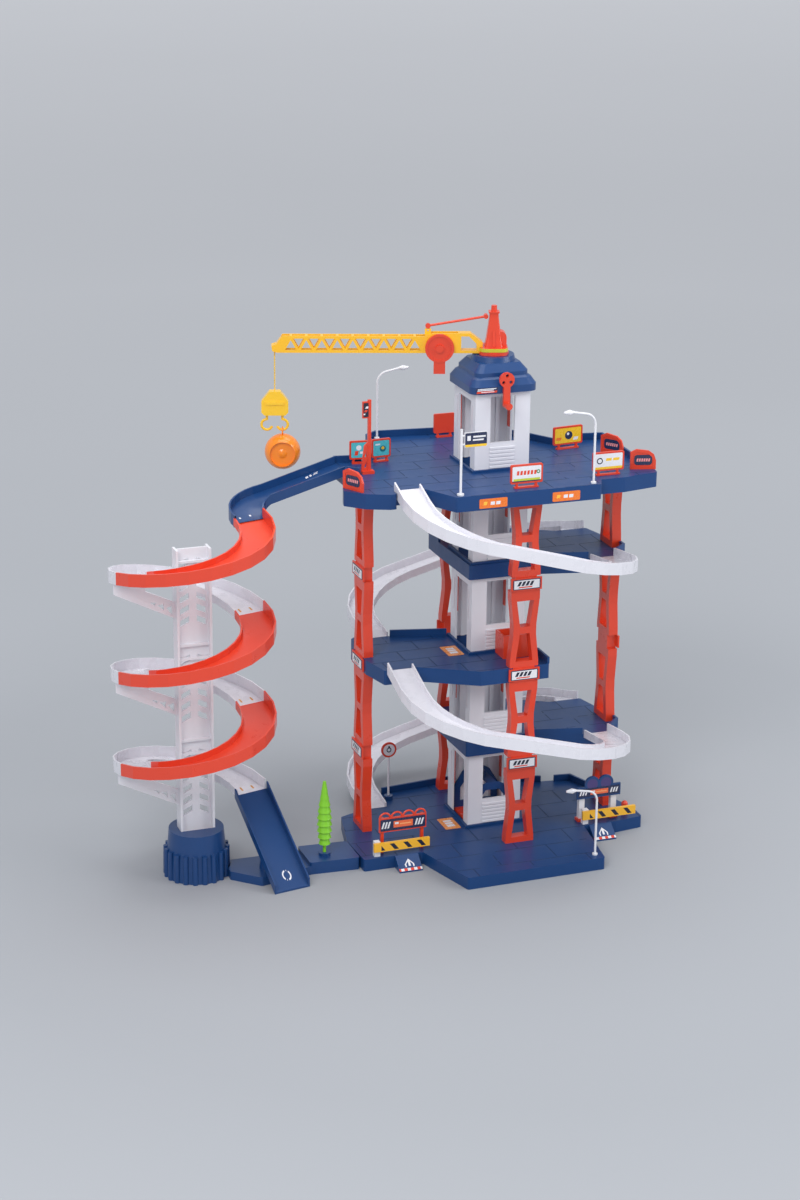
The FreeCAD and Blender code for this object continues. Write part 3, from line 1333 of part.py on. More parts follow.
def gantries():
    """The two entry gantries over the ground ramps."""
    level = "base_height"
    y = "-80"
    posts = [block(f"GantryPost{sign + 1}", "4", "4", "gantry_height + banner_height", f"-148 + {sign} * gantry_span / 2",
                   y, level) for sign in (-1, 1)]
    banner = block("GantryBanner", "gantry_span + 10", "3", "banner_height", "-148", "-82.5", f"{level} + gantry_height")
    arcs = []
    for number in range(4):
        x = f"-148 + ({number} - 1.5) * gantry_span / 3.4"
        ring = bind(doc.addObject("Part::Torus", f"Scallop{number}"), Radius1="gantry_span / 7.4", Radius2="1.3")
        ring.Angle3 = 180
        arcs.append(place(ring, x, "-82.5", f"{level} + gantry_height + banner_height - 1", FACING_FRONT))
    keep("gantry_left", join("GantryLeft", *posts, banner, *arcs))
    y = "-66"
    posts = [block(f"RightPost{sign + 1}", "8", "7", "gantry_height + banner_height - 4",
                   f"140 + {sign} * gantry_span * 0.42", y, level) for sign in (-1, 1)]
    feet = [block(f"RightFoot{sign + 1}", "12", "11", "4", f"140 + {sign} * gantry_span * 0.42", y, level)
            for sign in (-1, 1)]
    banner = block("RightBanner", "gantry_span + 8", "3", "banner_height - 3", "140", "-71",
                   f"{level} + gantry_height + 4")
    arches = [rod(f"RightArch{sign + 1}", "11", "3", f"140 + {sign} * 10", "-72.5",
                  f"{level} + gantry_height + banner_height + 4", ALONG_Y) for sign in (-1, 1)]
    bollard = rod("BollardStem", "4.5", "14", "184", "-62", level)
    bollard_cap = ball("BollardCap", "4.5", "184", "-62", f"{level} + 14")
    keep("gantry_right", join("GantryRight", *posts, *feet, banner, *arches))
    keep("bollard", join("Bollard", bollard, bollard_cap))


def gates():
    """The barrier arms and the posts that they turn on."""
    posts = []
    for side, x, y in (("left", "-186", "-88"), ("right", "118", "-77")):
        post = block(f"GatePost{side}", "8", "7", "gate_pivot + 7", x, y, "base_height")
        bore = rod(f"GateBore{side}", "2 + run_gap", "20", x, f"{y} - 10", "base_height + gate_pivot", ALONG_Y)
        posts.append(cut(f"GatePostCut{side}", post, bore))
        face = f"{y} - 3.5 - seat_gap"
        bar = box(f"GateBar{side}", "gate_reach", "gate_wall", "gate_height", f"{x} - 6", f"{face} - gate_wall",
                  "base_height + gate_pivot - gate_height / 2")
        pin = rod(f"GatePin{side}", "2", "7 + gate_wall", x, f"{face} - gate_wall + 0.5", "base_height + gate_pivot",
                  ALONG_Y)
        keep(f"gate_arm_{side}", join(f"GateArm{side}", bar, pin))
    keep("gate_posts", group("GatePosts", *posts))


def entry_ramps():
    """The two short ramps from the floor to the ground plate."""
    ramps = []
    for number, (x, y) in enumerate((("-ramp_x", "-96"), ("138", "-84"))):
        profile = [("seat_gap", "0"), ("entry_run", "0"), ("entry_run", "2.4"), ("seat_gap", "base_height")]
        wedge = prism(f"Entry{number}", profile, "entry_width")
        turn = Rotation(Vector(0, 0, 1), -90) * FACING_FRONT
        place(wedge, f"{x} + entry_width / 2", y, 0, turn)
        ramps.append(wedge)
    return keep("entry_ramps", group("EntryRamps", *ramps))


def tree():
    """The cypress tree: a trunk in the arm's cup and a lobed flat crown."""
    x, y = "-250", "-62"
    level = "base_height"
    trunk = rod("Trunk", "2.2", "22", x, y, f"{level} + 1")
    leaves = []
    for number in range(9):
        share = number / 8
        width = 4.5 + 5.5 * math.sin(math.pi * min(1, 0.18 + share * 0.86)) ** 0.8
        leaves.append(cone(f"Leaf{number}", f"{width:.2f}", f"{width * 0.45:.2f}", "tree_height * 0.15", x, y,
                           f"{level} + 16 + {share:.3f} * (tree_height - 30)"))
    return keep("tree", join("Tree", trunk, *leaves))


def parking_tray():
    """The red tray in front of the tower on the third storey."""
    level = deck_top(2)
    y = "-(tower_side / 2 + plinth_wall + seat_gap + tray_width)"
    solid = box("Tray", "tray_length", "tray_width", "tray_height", "tray_x", y, level)
    room = box("TrayRoom", "tray_length - 5", "tray_width - 5", "tray_height", "tray_x + 2.5", f"{y} + 2.5",
               f"{level} + 2.5")
    return keep("parking_tray", cut("TrayCut", solid, room))


def wrecking_ball():
    """The ball with its rim and the ring that hangs on the right hook."""
    x = "-jib_reach + block_width * 0.28"
    low = f"({BLOCK_TOP} - block_height - hook_radius * 1.9 - hook_radius)"
    ring_radius = 4.6
    ring = bind(doc.addObject("Part::Torus", "BallRing"), Radius1=str(ring_radius), Radius2="1")
    drop = f"{ring_radius} - 1 - hook_wire - 0.75"
    place(ring, x, 0, f"{low} - ({drop})", ALONG_X)
    centre = f"({low} - ({drop}) - {ring_radius} - ball_radius)"
    sphere = ball("BallBody", "ball_radius", x, 0, centre)
    face = "ball_radius * 0.7"
    depth = "ball_radius * 0.56"
    dishes = [rod("DishFront", face, "ball_radius", x, f"-ball_radius - {depth}", centre, ALONG_Y),
              rod("DishBack", face, "ball_radius", x, depth, centre, ALONG_Y)]
    domes = bind(doc.addObject("Part::Ellipsoid", "BallDome"), Radius1="ball_radius * 0.64",
                 Radius2="ball_radius * 0.55", Radius3="ball_radius * 0.55")
    place(domes, x, 0, centre, ALONG_Y)
    dished = join("DishedBall", cut("BallCut", sphere, *dishes), domes)
    return keep("wrecking_ball", crane_turn(join("WreckingBall", ring, dished)))


def main():
    """Builds every sub-part, checks it and writes its file."""
    base_plate()
    storey_deck("deck_2", 1, True, [BACK_CURB, LEFT_CURB, RIGHT_CURB])
    storey_deck("deck_3", 2, False, [BACK_CURB, LEFT_CURB, RIGHT_CURB])
    storey_deck("deck_4", 3, True, [BACK_CURB, LEFT_CURB, RIGHT_CURB])
    top_deck()
    for storey in range(STOREYS):
        tower_wall(storey)
    guide_strips()
    lift_car()
    lift_winding()
    roof()
    pillar("pillar_front", "front_pillar_x", "-front_pillar_y", "front")
    pillar("pillar_back", "-front_pillar_x", "front_pillar_y", "back")
    pillar("pillar_left", "-side_pillar_x", "side_pillar_y", "left")
    pillar("pillar_right", "side_pillar_x", "-side_pillar_y", "right")
    ramp("ramp_front_upper", value("top_notch_y"), 4, False)
    ramp("ramp_front_lower", value("ramp_notch_y"), 2, False)
    ramp("ramp_back_upper", value("ramp_notch_y"), 3, True)
    ramp("ramp_back_lower", value("ramp_notch_y"), 1, True)
    half = value("spiral_half_angle")
    for turn in range(3):
        spiral_track(f"orange_track_{turn + 1}", turn * 360, turn * 360 + half)
        spiral_track(f"white_track_{turn + 1}", turn * 360 + half, turn * 360 + 360)
    top_chute()
    bottom_chute()
    spiral_stand()
    track_brackets()
    arm_and_post()
    turret()
    crane_jib()
    stay()
    winch()
    hoist_cord()
    hook_assembly()
    wrecking_ball()
    street_lamps()
    billboards()
    edge_signs()
    tall_sign()
    post_signs()
    gantries()
    gates()
    entry_ramps()
    tree()
    parking_tray()

    doc.recompute()
    failed = [thing.Label for thing in doc.Objects if "Invalid" in thing.State or "Error" in thing.State]
    if failed:
        raise RuntimeError(f"these did not build: {failed}")
    for part in parts:
        if part.Shape.isNull() or not part.Shape.isValid():
            raise RuntimeError(f"{part.Label} has no sound shape")
    os.makedirs("parts", exist_ok=True)
    for part in parts:
        part.Shape.exportStep(f"parts/{part.Label}.step")
        print(part.Label, len(part.Shape.Solids), round(part.Shape.Volume))


main()
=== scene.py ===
import bmesh
import bpy
import math
from mathutils import Euler, Matrix, Vector


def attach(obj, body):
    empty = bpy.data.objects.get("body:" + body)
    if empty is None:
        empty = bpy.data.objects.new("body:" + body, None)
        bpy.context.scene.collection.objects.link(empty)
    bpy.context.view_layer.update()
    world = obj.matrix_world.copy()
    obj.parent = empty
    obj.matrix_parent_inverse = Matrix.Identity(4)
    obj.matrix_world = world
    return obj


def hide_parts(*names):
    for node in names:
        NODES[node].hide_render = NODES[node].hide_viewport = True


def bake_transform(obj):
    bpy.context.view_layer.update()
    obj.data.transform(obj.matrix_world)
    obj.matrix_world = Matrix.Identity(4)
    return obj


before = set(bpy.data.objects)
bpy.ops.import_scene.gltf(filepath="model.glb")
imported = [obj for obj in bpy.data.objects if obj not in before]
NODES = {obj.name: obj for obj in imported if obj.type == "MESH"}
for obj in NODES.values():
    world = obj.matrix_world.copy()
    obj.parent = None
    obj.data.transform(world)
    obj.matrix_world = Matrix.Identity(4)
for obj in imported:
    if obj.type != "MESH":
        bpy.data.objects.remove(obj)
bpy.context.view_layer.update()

STOREY = 0.125
GROUND = 0.017
JIB_BEARING = math.radians(-18)


def deck_height(storey):
    return GROUND + storey * STOREY


ROOF_DECK = deck_height(4)


# Shader maths


class Value:
    """A shader socket that takes part in Python expressions."""

    def __init__(self, finish, socket):
        self.finish = finish
        self.socket = socket

    def maths(self, operation, first, second):
        return self.finish.node("ShaderNodeMath", {"operation": operation}, {0: first, 1: second})

    def __add__(self, other):
        return self.maths("ADD", self, other)

    def __radd__(self, other):
        return self.maths("ADD", other, self)

    def __sub__(self, other):
        return self.maths("SUBTRACT", self, other)

    def __mul__(self, other):
        return self.maths("MULTIPLY", self, other)

    def __rmul__(self, other):
        return self.maths("MULTIPLY", other, self)

    def __gt__(self, other):
        return self.maths("GREATER_THAN", self, other)

    def __lt__(self, other):
        return self.maths("LESS_THAN", self, other)

    def __mod__(self, other):
        return self.maths("FLOORED_MODULO", self, other)

    def __abs__(self):
        return self.maths("ABSOLUTE", self, 0)


def paint(red, green, blue):
    """A colour written in 8-bit display values."""
    linear = []
    for level in (red, green, blue):
        share = level / 255
        linear.append(share / 12.92 if share <= 0.04045 else ((share + 0.055) / 1.055) ** 2.4)
    return (*linear, 1.0)


def shade(colour, factor):
    return (*[min(1.0, level * factor) for level in colour[:3]], 1.0)


NAVY = paint(22, 64, 118)
RED = paint(224, 66, 38)
TRACK_RED = paint(230, 70, 44)
WHITE = paint(228, 227, 234)
TOWER_WHITE = paint(228, 228, 234)
MAST_WHITE = paint(230, 230, 236)
PAPER_WHITE = paint(232, 232, 236)
YELLOW = paint(250, 190, 36)
HOOK_YELLOW = paint(252, 200, 40)
CORD_YELLOW = paint(240, 200, 90)
BARRIER_YELLOW = paint(248, 186, 48)
SUN = paint(246, 198, 44)
OLIVE = paint(196, 188, 44)
LIME = paint(196, 206, 60)
ORANGE = paint(252, 140, 26)
AMBER = paint(240, 122, 40)
CORAL = paint(238, 110, 66)
PEACH = paint(250, 170, 110)
APRICOT = paint(236, 150, 80)
GOLD = paint(250, 190, 60)
BRONZE = paint(214, 150, 50)
PINK = paint(238, 150, 150)
GREEN = paint(130, 205, 40)
BADGE_GREEN = paint(70, 140, 90)
TEAL = paint(84, 188, 198)
DEEP_TEAL = paint(30, 110, 120)
PURPLE = paint(74, 62, 118)
SLATE = paint(150, 150, 158)
INK = paint(24, 30, 52)
BOARD_INK = paint(34, 44, 78)
BRIM_INK = paint(40, 48, 84)


class Finish:
    """A material and the nodes that make it."""

    def __init__(self, name):
        self.material = bpy.data.materials.new(name)
        self.material.use_nodes = True
        self.tree = self.material.node_tree
        self.tree.nodes.clear()
        self.output = self.tree.nodes.new("ShaderNodeOutputMaterial")
        self.shader = self.tree.nodes.new("ShaderNodeBsdfPrincipled")
        self.tree.links.new(self.shader.outputs[0], self.output.inputs["Surface"])
        self.place = self.node("ShaderNodeTexCoord", output="Object")

    def node(self, kind, settings=None, inputs=None, output=0):
        made = self.tree.nodes.new(kind)
        for name, setting in (settings or {}).items():
            if name == "stops":
                self.set_stops(made.color_ramp.elements, setting)
            else:
                setattr(made, name, setting)
        for name, value in (inputs or {}).items():
            self.join(made.inputs[name], value)
        return Value(self, made.outputs[output])

    @staticmethod
    def set_stops(elements, stops):
        """A colour ramp starts with two stops of its own, which take the first two places."""
        for number, (spot, colour) in enumerate(stops):
            stop = elements[number] if number < 2 else elements.new(spot)
            stop.position = spot
            stop.color = colour

    def join(self, socket, value):
        if isinstance(value, Value):
            self.tree.links.new(value.socket, socket)
        else:
            socket.default_value = value

    def set(self, **inputs):
        for name, value in inputs.items():
            self.join(self.shader.inputs[name.replace("_", " ")], value)

    def noise(self, scale, detail=2.0):
        inputs = {"Vector": self.place, "Scale": scale, "Detail": detail, "Roughness": 0.55}
        return self.node("ShaderNodeTexNoise", {}, inputs)

    def mix(self, mask, low, high):
        settings = {"data_type": "RGBA", "clamp_factor": True}
        return self.node("ShaderNodeMix", settings, {0: mask, 6: low, 7: high}, output=2)

    def moved(self, centre, turn=(0, 0, 0)):
        """Coordinates that start at a point and are turned with a piece."""
        away = self.node("ShaderNodeVectorMath", {"operation": "SUBTRACT"}, {0: self.place, 1: centre})
        settings = {"rotation_type": "EULER_XYZ", "invert": True}
        return self.node("ShaderNodeVectorRotate", settings, {"Vector": away, "Rotation": turn})

    def axes(self, place=None):
        split = self.node("ShaderNodeSeparateXYZ", {}, {"Vector": place or self.place})
        outputs = split.socket.node.outputs
        return [Value(self, outputs[number]) for number in range(3)]

    def band(self, value, low, high):
        """1 between two limits and 0 outside them."""
        return (value > low) * (value < high)

    def relief(self, height, distance):
        inputs = {"Height": height, "Distance": distance, "Strength": 1.0}
        self.set(Normal=self.node("ShaderNodeBump", {}, inputs))

    def fix(self, **inputs):
        """Set inputs that hold one number all over the piece."""
        for name, value in inputs.items():
            self.shader.inputs[name.replace("_", " ")].default_value = value


FLOW_SCALE = 9
CLOUD_SCALE = 46
GRAIN_SCALE = 900
WAVE_SCALE = 70
SEAM_WIDTH = 0.0011
TILE_ASPECT = 1.9


def moulded(name, colour, roughness=0.3, coat=0.2, zones=()):
    """Injection-moulded plastic: a faint flow in the colour, a fine grain and a soft waviness.

    A zone is a function of the finish that gives a mask, and the colour that is printed there.
    """
    finish = Finish(name)
    flow = finish.noise(FLOW_SCALE, 3)
    cloud = finish.noise(CLOUD_SCALE)
    grain = finish.noise(GRAIN_SCALE)
    tint = finish.mix(flow * 0.7 + cloud * 0.3, shade(colour, 0.93), shade(colour, 1.06))
    for mask, printed in zones:
        tint = finish.mix(mask(finish), tint, printed)
    finish.set(Base_Color=tint)
    finish.set(Roughness=roughness + (cloud - 0.5) * 0.12 + (grain - 0.5) * 0.06)
    finish.fix(Coat_Weight=coat, Coat_Roughness=0.12, IOR=1.5)
    finish.relief(grain * 0.02 + finish.noise(WAVE_SCALE) * 0.2, 0.0003)
    return finish


def tiled(name, colour, tile):
    """Deck plastic: upper sides carry moulded paving seams, worn away here and there."""
    finish = Finish(name)
    flow = finish.noise(7, 3)
    cloud = finish.noise(60, 3)
    grain = finish.noise(800)
    inputs = {"Vector": finish.place, "Scale": 1.0, "Mortar Size": SEAM_WIDTH, "Mortar Smooth": 0.35,
              "Brick Width": tile * TILE_ASPECT, "Row Height": tile}
    brick = finish.node("ShaderNodeTexBrick", {"offset": 0.5, "squash": 1.0}, inputs, output="Fac")
    seam = brick * up_facing(finish, 0.9) * (finish.noise(30) > 0.42)
    plain = finish.mix(flow * 0.6 + cloud * 0.4, shade(colour, 0.9), shade(colour, 1.08))
    finish.set(Base_Color=finish.mix(seam * 0.55, plain, shade(colour, 0.45)))
    finish.set(Roughness=0.36 + (cloud - 0.5) * 0.16 + seam * 0.15)
    finish.fix(Coat_Weight=0.06, Coat_Roughness=0.16, Specular_IOR_Level=0.35)
    finish.relief(grain * 0.03 + cloud * 0.16 - seam * 1.4, 0.0004)
    return finish


def rising(low, high):
    """A mask that holds between two heights."""
    return lambda finish: finish.band(finish.axes()[2], low, high)


def disc_mask(centre, inner, outer):
    """A ring round a point, as it shows from the front."""
    def mask(finish):
        x, _, z = finish.axes(finish.moved(centre))
        reach = x * x + z * z
        return (reach > inner ** 2) * (reach < outer ** 2)
    return mask


def up_facing(finish, least=0.7):
    return finish.axes(finish.node("ShaderNodeNewGeometry", output="Normal"))[2] > least


def patch(centre, angle, low, high, slant=0.0):
    """A printed bar on an upper side, turned about Z by an angle in degrees."""
    def mask(finish):
        x, y, _ = finish.axes(finish.moved((*centre, 0), (0, 0, math.radians(angle))))
        across = finish.band(x - y * slant, low[0], high[0])
        return across * finish.band(y, low[1], high[1]) * up_facing(finish)
    return mask


def chute_ring(finish):
    """A ring of four arcs on the lower end of the bottom chute."""
    x, y, _ = finish.axes(finish.moved((-0.3158, -0.1052, 0), (0, 0, math.radians(-80))))
    reach = x * x + y * y
    gap = 0.0011
    arcs = (abs(y) > gap) * (abs(x * 0.5 + y * 0.87) > gap)
    return (reach > 0.0044 ** 2) * (reach < 0.0062 ** 2) * arcs * up_facing(finish)


RAMP_LEFT_X = -0.147
RAMP_STEP_X = 0.285
RAMP_STEP_Y = 0.012
RAMP_LIP_Y = -0.1128
RAMP_SLOPE = 0.5
RAMP_STRIPE = 0.009


def ramp_frame(finish):
    """Coordinates in an entry ramp's own frame, the same for both ramps."""
    x, y, _ = finish.axes()
    right = x > 0
    return x - RAMP_LEFT_X - right * RAMP_STEP_X, y - right * RAMP_STEP_Y


def ramp_arrow(finish):
    """An arrow that points up the ramp, with a short bar on either side of its stem."""
    x, y = ramp_frame(finish)
    side = abs(x)
    stem = (side < 0.0015) * finish.band(y, -0.1105, -0.1035)
    head = finish.band(side + y, -0.1035, -0.1015) * (side < 0.0065)
    bars = finish.band(side, 0.0045, 0.0062) * finish.band(y, -0.1115, -0.1075)
    return (stem + head + bars > 0.5) * up_facing(finish, RAMP_SLOPE)


def ramp_lip(finish):
    return (ramp_frame(finish)[1] < RAMP_LIP_Y) * up_facing(finish, RAMP_SLOPE)


def ramp_stripes(finish):
    return ramp_lip(finish) * ((ramp_frame(finish)[0] % RAMP_STRIPE) < RAMP_STRIPE / 2)


BARRIER_PITCH = 0.019
BARRIER_BAR = 0.0062
BARRIER_SLANT = 0.8


def barrier_finish(name, centre):
    """Yellow barrier plastic with black slanting bars."""
    finish = moulded(name, BARRIER_YELLOW, 0.32, 0.2)
    x, _, z = finish.axes(finish.moved(centre))
    bars = ((x + z * BARRIER_SLANT) % BARRIER_PITCH) < BARRIER_BAR
    inside = finish.band(x, 0.004, 0.072) * (abs(z) < 0.0044)
    cloud = finish.noise(CLOUD_SCALE)
    yellow = finish.mix(cloud, shade(BARRIER_YELLOW, 0.93), shade(BARRIER_YELLOW, 1.05))
    finish.set(Base_Color=finish.mix(bars * inside, yellow, INK))
    return finish


# Dressing of the CAD nodes


def dress(finish, *names):
    for name in names:
        mesh = NODES[name].data
        mesh.materials.clear()
        mesh.materials.append(finish.material)


deck_blue = tiled("deck_blue", NAVY, 0.034)
ground_blue = tiled("ground_blue", shade(NAVY, 0.96), 0.042)
trim_blue = moulded("trim_blue", NAVY, 0.34, 0.12)
frame_red = moulded("frame_red", RED, 0.3, 0.25)
track_red = moulded("track_red", TRACK_RED, 0.3, 0.2)
track_white = moulded("track_white", WHITE, 0.28, 0.25)
tower_white = moulded("tower_white", TOWER_WHITE, 0.34, 0.15)
mast_white = moulded("mast_white", MAST_WHITE, 0.33, 0.15)
crane_yellow = moulded("crane_yellow", YELLOW, 0.3, 0.2)
hook_yellow = moulded("hook_yellow", HOOK_YELLOW, 0.28, 0.25)
cord_yellow = moulded("cord_yellow", CORD_YELLOW, 0.6, 0.0)
ball_orange = moulded("ball_orange", ORANGE, 0.22, 0.4)
leaf_green = moulded("leaf_green", GREEN, 0.42, 0.1)
lamp_white = moulded("lamp_white", PAPER_WHITE, 0.3, 0.2)

# Painted bars: the slots and tabs lie in the helix's own frame, the others round the chute's mark
SPIRAL_CENTRE = (-0.415, -0.026)
SPIRAL_TURN = 14
SLOTS_RIGHT = [((0.0735, 0.006), (0.0762, 0.0135)), ((0.0900, 0.006), (0.0927, 0.0135))]
SLOTS_LEFT = [((0.0735, -0.0135), (0.0755, -0.006)), ((0.0900, -0.0135), (0.0920, -0.006))]
CHUTE_TABS = [((0.0745, 0.006), (0.0768, 0.0095)), ((0.0895, 0.006), (0.0918, 0.0095))]
CHUTE_MARK_CENTRE = (-0.232, 0.048)
CHUTE_MARK_BARS = [((-0.009, -0.003), (-0.005, 0.003)), ((-0.003, -0.003), (0.0, 0.003)),
                   ((0.002, -0.003), (0.009, -0.001)), ((0.004, 0.0005), (0.010, 0.0025))]
chute_zones = [(chute_ring, PAPER_WHITE)]
chute_zones += [(patch(CHUTE_MARK_CENTRE, SPIRAL_TURN, low, high, 0.4), PAPER_WHITE)
                for low, high in CHUTE_MARK_BARS]
chute_zones += [(patch(SPIRAL_CENTRE, SPIRAL_TURN, low, high), PAPER_WHITE) for low, high in CHUTE_TABS]
slot_zones = [(patch(SPIRAL_CENTRE, SPIRAL_TURN, low, high), BRONZE) for low, high in SLOTS_RIGHT]
slot_zones += [(patch(SPIRAL_CENTRE, SPIRAL_TURN + 180, low, high), SLATE) for low, high in SLOTS_LEFT]
ramp_zones = [(ramp_arrow, PAPER_WHITE), (ramp_lip, PAPER_WHITE), (ramp_stripes, RED)]
ramp_blue = moulded("ramp_blue", NAVY, 0.34, zones=ramp_zones)
chute_blue = moulded("chute_blue", NAVY, 0.32, zones=chute_zones)
slotted_white = moulded("slotted_white", WHITE, 0.28, 0.25, zones=slot_zones)

# Painted heights and discs of the standing signs
ROUND_SIGN = (-0.108, 0.086, 0.091)
ROUND_SIGN_DOT = (-0.108, 0.086, 0.0955)
SIGN_FOOT_TOP = 0.0232
SIGN_POST_TOP = 0.0800
sign_face = moulded("sign_face", RED, 0.3, 0.25, zones=[
    (rising(0.0, SIGN_FOOT_TOP), NAVY), (rising(SIGN_FOOT_TOP, SIGN_POST_TOP), PAPER_WHITE),
    (disc_mask(ROUND_SIGN, 0, 0.0084), PAPER_WHITE), (disc_mask(ROUND_SIGN, 0.0022, 0.0036), INK),
    (disc_mask(ROUND_SIGN_DOT, 0, 0.0014), INK),
])
GANTRY_FOOT_TOP = 0.0212
GANTRY_BANNER_LOW = 0.0508
GANTRY_TOP = 0.09
ARCH_CENTRES = [(0.130, -0.071, 0.071), (0.150, -0.071, 0.071)]
ARCH_DISC = 0.0078
arch_zones = [(rising(GANTRY_BANNER_LOW, GANTRY_TOP), NAVY), (rising(0.0, GANTRY_FOOT_TOP), RED)]
arch_zones += [(disc_mask(centre, 0, ARCH_DISC), PURPLE) for centre in ARCH_CENTRES]
arch_white = moulded("arch_white", PAPER_WHITE, 0.32, zones=arch_zones)
TURRET_BAND = (0.6690, 0.6738)
turret_red = moulded("turret_red", RED, 0.3, 0.25, zones=[(rising(*TURRET_BAND), OLIVE)])

dress(ground_blue, "base_plate")
dress(deck_blue, "deck_2", "deck_3", "deck_4", "top_deck")
dress(trim_blue, "link_arm", "spiral_foot", "roof", "lift_cage")
dress(ramp_blue, "entry_ramps")
dress(chute_blue, "top_chute", "bottom_chute")
dress(mast_white, "spiral_mast_lower", "spiral_mast_middle", "spiral_mast_upper", "track_brackets")
dress(track_red, "orange_track_1", "orange_track_2", "orange_track_3")
dress(slotted_white, "white_track_1", "white_track_2", "white_track_3")
dress(track_white, "ramp_front_upper", "ramp_front_lower", "ramp_back_upper", "ramp_back_lower")
dress(frame_red, "pillar_front", "pillar_back", "pillar_left", "pillar_right", "lift_guide_strips",
      "lift_platform", "lift_crank", "stay_rod", "winch_wheel", "billboards", "edge_signs", "tall_sign",
      "gantry_left", "parking_tray", "bollard")
dress(turret_red, "crane_turret")
dress(sign_face, "round_sign")
dress(arch_white, "gantry_right")
dress(tower_white, *[f"tower_wall_{number}" for number in range(1, 6)])
dress(crane_yellow, "crane_jib")
dress(hook_yellow, "hook_block", "hoist_cord")
dress(ball_orange, "wrecking_ball")
dress(lamp_white, "street_lamps", "post_sign", "gate_posts", "lift_spool")
dress(leaf_green, "tree")
dress(barrier_finish("left_barrier", (-0.186, -0.094, 0.031)), "gate_arm_left")
dress(barrier_finish("right_barrier", (0.118, -0.083, 0.031)), "gate_arm_right")


# Pieces


def piece(name, mesh_work, finish, body):
    """A finished object with its place in its mesh. A piece that bends between two bodies rides on none."""
    mesh = bpy.data.meshes.new(name)
    mesh_work.normal_update()
    mesh_work.to_mesh(mesh)
    mesh_work.free()
    made = bpy.data.objects.new(name, mesh)
    bpy.context.scene.collection.objects.link(made)
    mesh.materials.append(finish.material)
    if body:
        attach(made, body)
    return made


def round_card(width, height, depth, corner):
    """A thin card with round corners that faces +Z, its back on z = 0."""
    work = bmesh.new()
    bmesh.ops.create_grid(work, x_segments=1, y_segments=1, size=0.5)
    bmesh.ops.scale(work, vec=(width, height, 1), verts=work.verts)
    bmesh.ops.bevel(work, geom=work.verts[:], offset=corner, offset_type="OFFSET", segments=4, profile=0.5,
                    affect="VERTICES", material=-1)
    lifted = bmesh.ops.extrude_face_region(work, geom=work.faces[:])
    top = [element for element in lifted["geom"] if isinstance(element, bmesh.types.BMVert)]
    bmesh.ops.translate(work, vec=(0, 0, depth), verts=top)
    bmesh.ops.recalc_face_normals(work, faces=work.faces)
    return work


STANDING = Matrix.Rotation(math.radians(90), 4, "X")


def facing(angle):
    """A card that stands upright and faces the front, turned about Z by an angle in degrees."""
    return Matrix.Rotation(math.radians(angle), 4, "Z") @ STANDING


def ahead_of(middle, angle, gap, level):
    """A point at a height, a gap in front of a piece that is turned about Z."""
    turn = math.radians(angle)
    return (middle[0] + gap * math.sin(turn), middle[1] - gap * math.cos(turn), level)


def put(work, spot, turn):
    bmesh.ops.transform(work, matrix=Matrix.Translation(Vector(spot)) @ turn, verts=work.verts)
    return work


def bar(left, low, right, high, colour, slant=0.0):
    """A bar on a card, its corners in shares of the card's half width and half height."""
    def mask(finish, x, y, half_width, half_height):
        across = finish.band(x - y * slant, left * half_width, right * half_width)
        return across * finish.band(y, low * half_height, high * half_height)
    return mask, colour


def bar_row(first, pitch, count, width, heights, colour, slant):
    """A row of equal bars, from the left edge of the first one on."""
    low, high = heights
    lefts = [first + pitch * number for number in range(count)]
    return [bar(left, low, left + width, high, colour, slant) for left in lefts]


def ring(across, up, inner, outer, colour):
    """A ring on a card, its centre in the same shares and its radii in shares of the half height."""
    def mask(finish, x, y, half_width, half_height):
        off_x, off_y = x - across * half_width, y - up * half_height
        reach = off_x * off_x + off_y * off_y
        return (reach > (inner * half_height) ** 2) * (reach < (outer * half_height) ** 2)
    return mask, colour


def badge_finish(name, centre, turn, width, height, ground, marks):
    """A printed card: plain bars and rings on a ground, placed in the card's own plane."""
    finish = Finish(name)
    x, y, _ = finish.axes(finish.moved(centre, turn.to_euler()))
    cloud = finish.noise(300)
    colour = finish.mix(cloud, shade(ground, 0.96), shade(ground, 1.03))
    for mask, ink in marks:
        colour = finish.mix(mask(finish, x, y, width / 2, height / 2), colour, ink)
    finish.set(Base_Color=colour)
    finish.set(Roughness=0.28 + (cloud - 0.5) * 0.1)
    finish.fix(Coat_Weight=0.3, Coat_Roughness=0.1)
    finish.relief(finish.noise(500) * 0.06, 0.0002)
    return finish


def badge(name, spot, turn, size, ground, marks, corner=0.0015, depth=0.0005):
    """A card on the garage, with its middle at a point."""
    work = put(round_card(*size, depth, corner), spot, turn)
    piece(name, work, badge_finish(name + "_print", spot, turn, *size, ground, marks), "garage")


PILLAR_MIDDLES = {"front": (0.010, -0.100), "back": (-0.010, 0.100), "left": (-0.172, 0.010),
                  "right": (0.172, -0.010)}
PILLAR_ANGLES = {"front": 0, "back": 180, "left": -90, "right": 90}
PLATE_REACH = 0.0089
PLATE_DROP = 0.010
PLATE_CARD = (0.038, 0.0136)
PLATE_MARKS = [bar(-0.93, -0.84, 0.93, 0.84, PAPER_WHITE), bar(-0.5, -0.66, 0.5, -0.42, RED, 0.5),
               *bar_row(-0.66, 0.3, 4, 0.2, (-0.26, 0.62), INK, 0.5)]


def pillar_badges():
    """The white cards on the plates of the pillars."""
    for side, middle in PILLAR_MIDDLES.items():
        angle = PILLAR_ANGLES[side]
        for storey in range(1, 4):
            spot = ahead_of(middle, angle, PLATE_REACH, deck_height(storey) - PLATE_DROP)
            badge(f"pillar_card_{side}_{storey}", spot, facing(angle), PLATE_CARD, BOARD_INK, PLATE_MARKS)


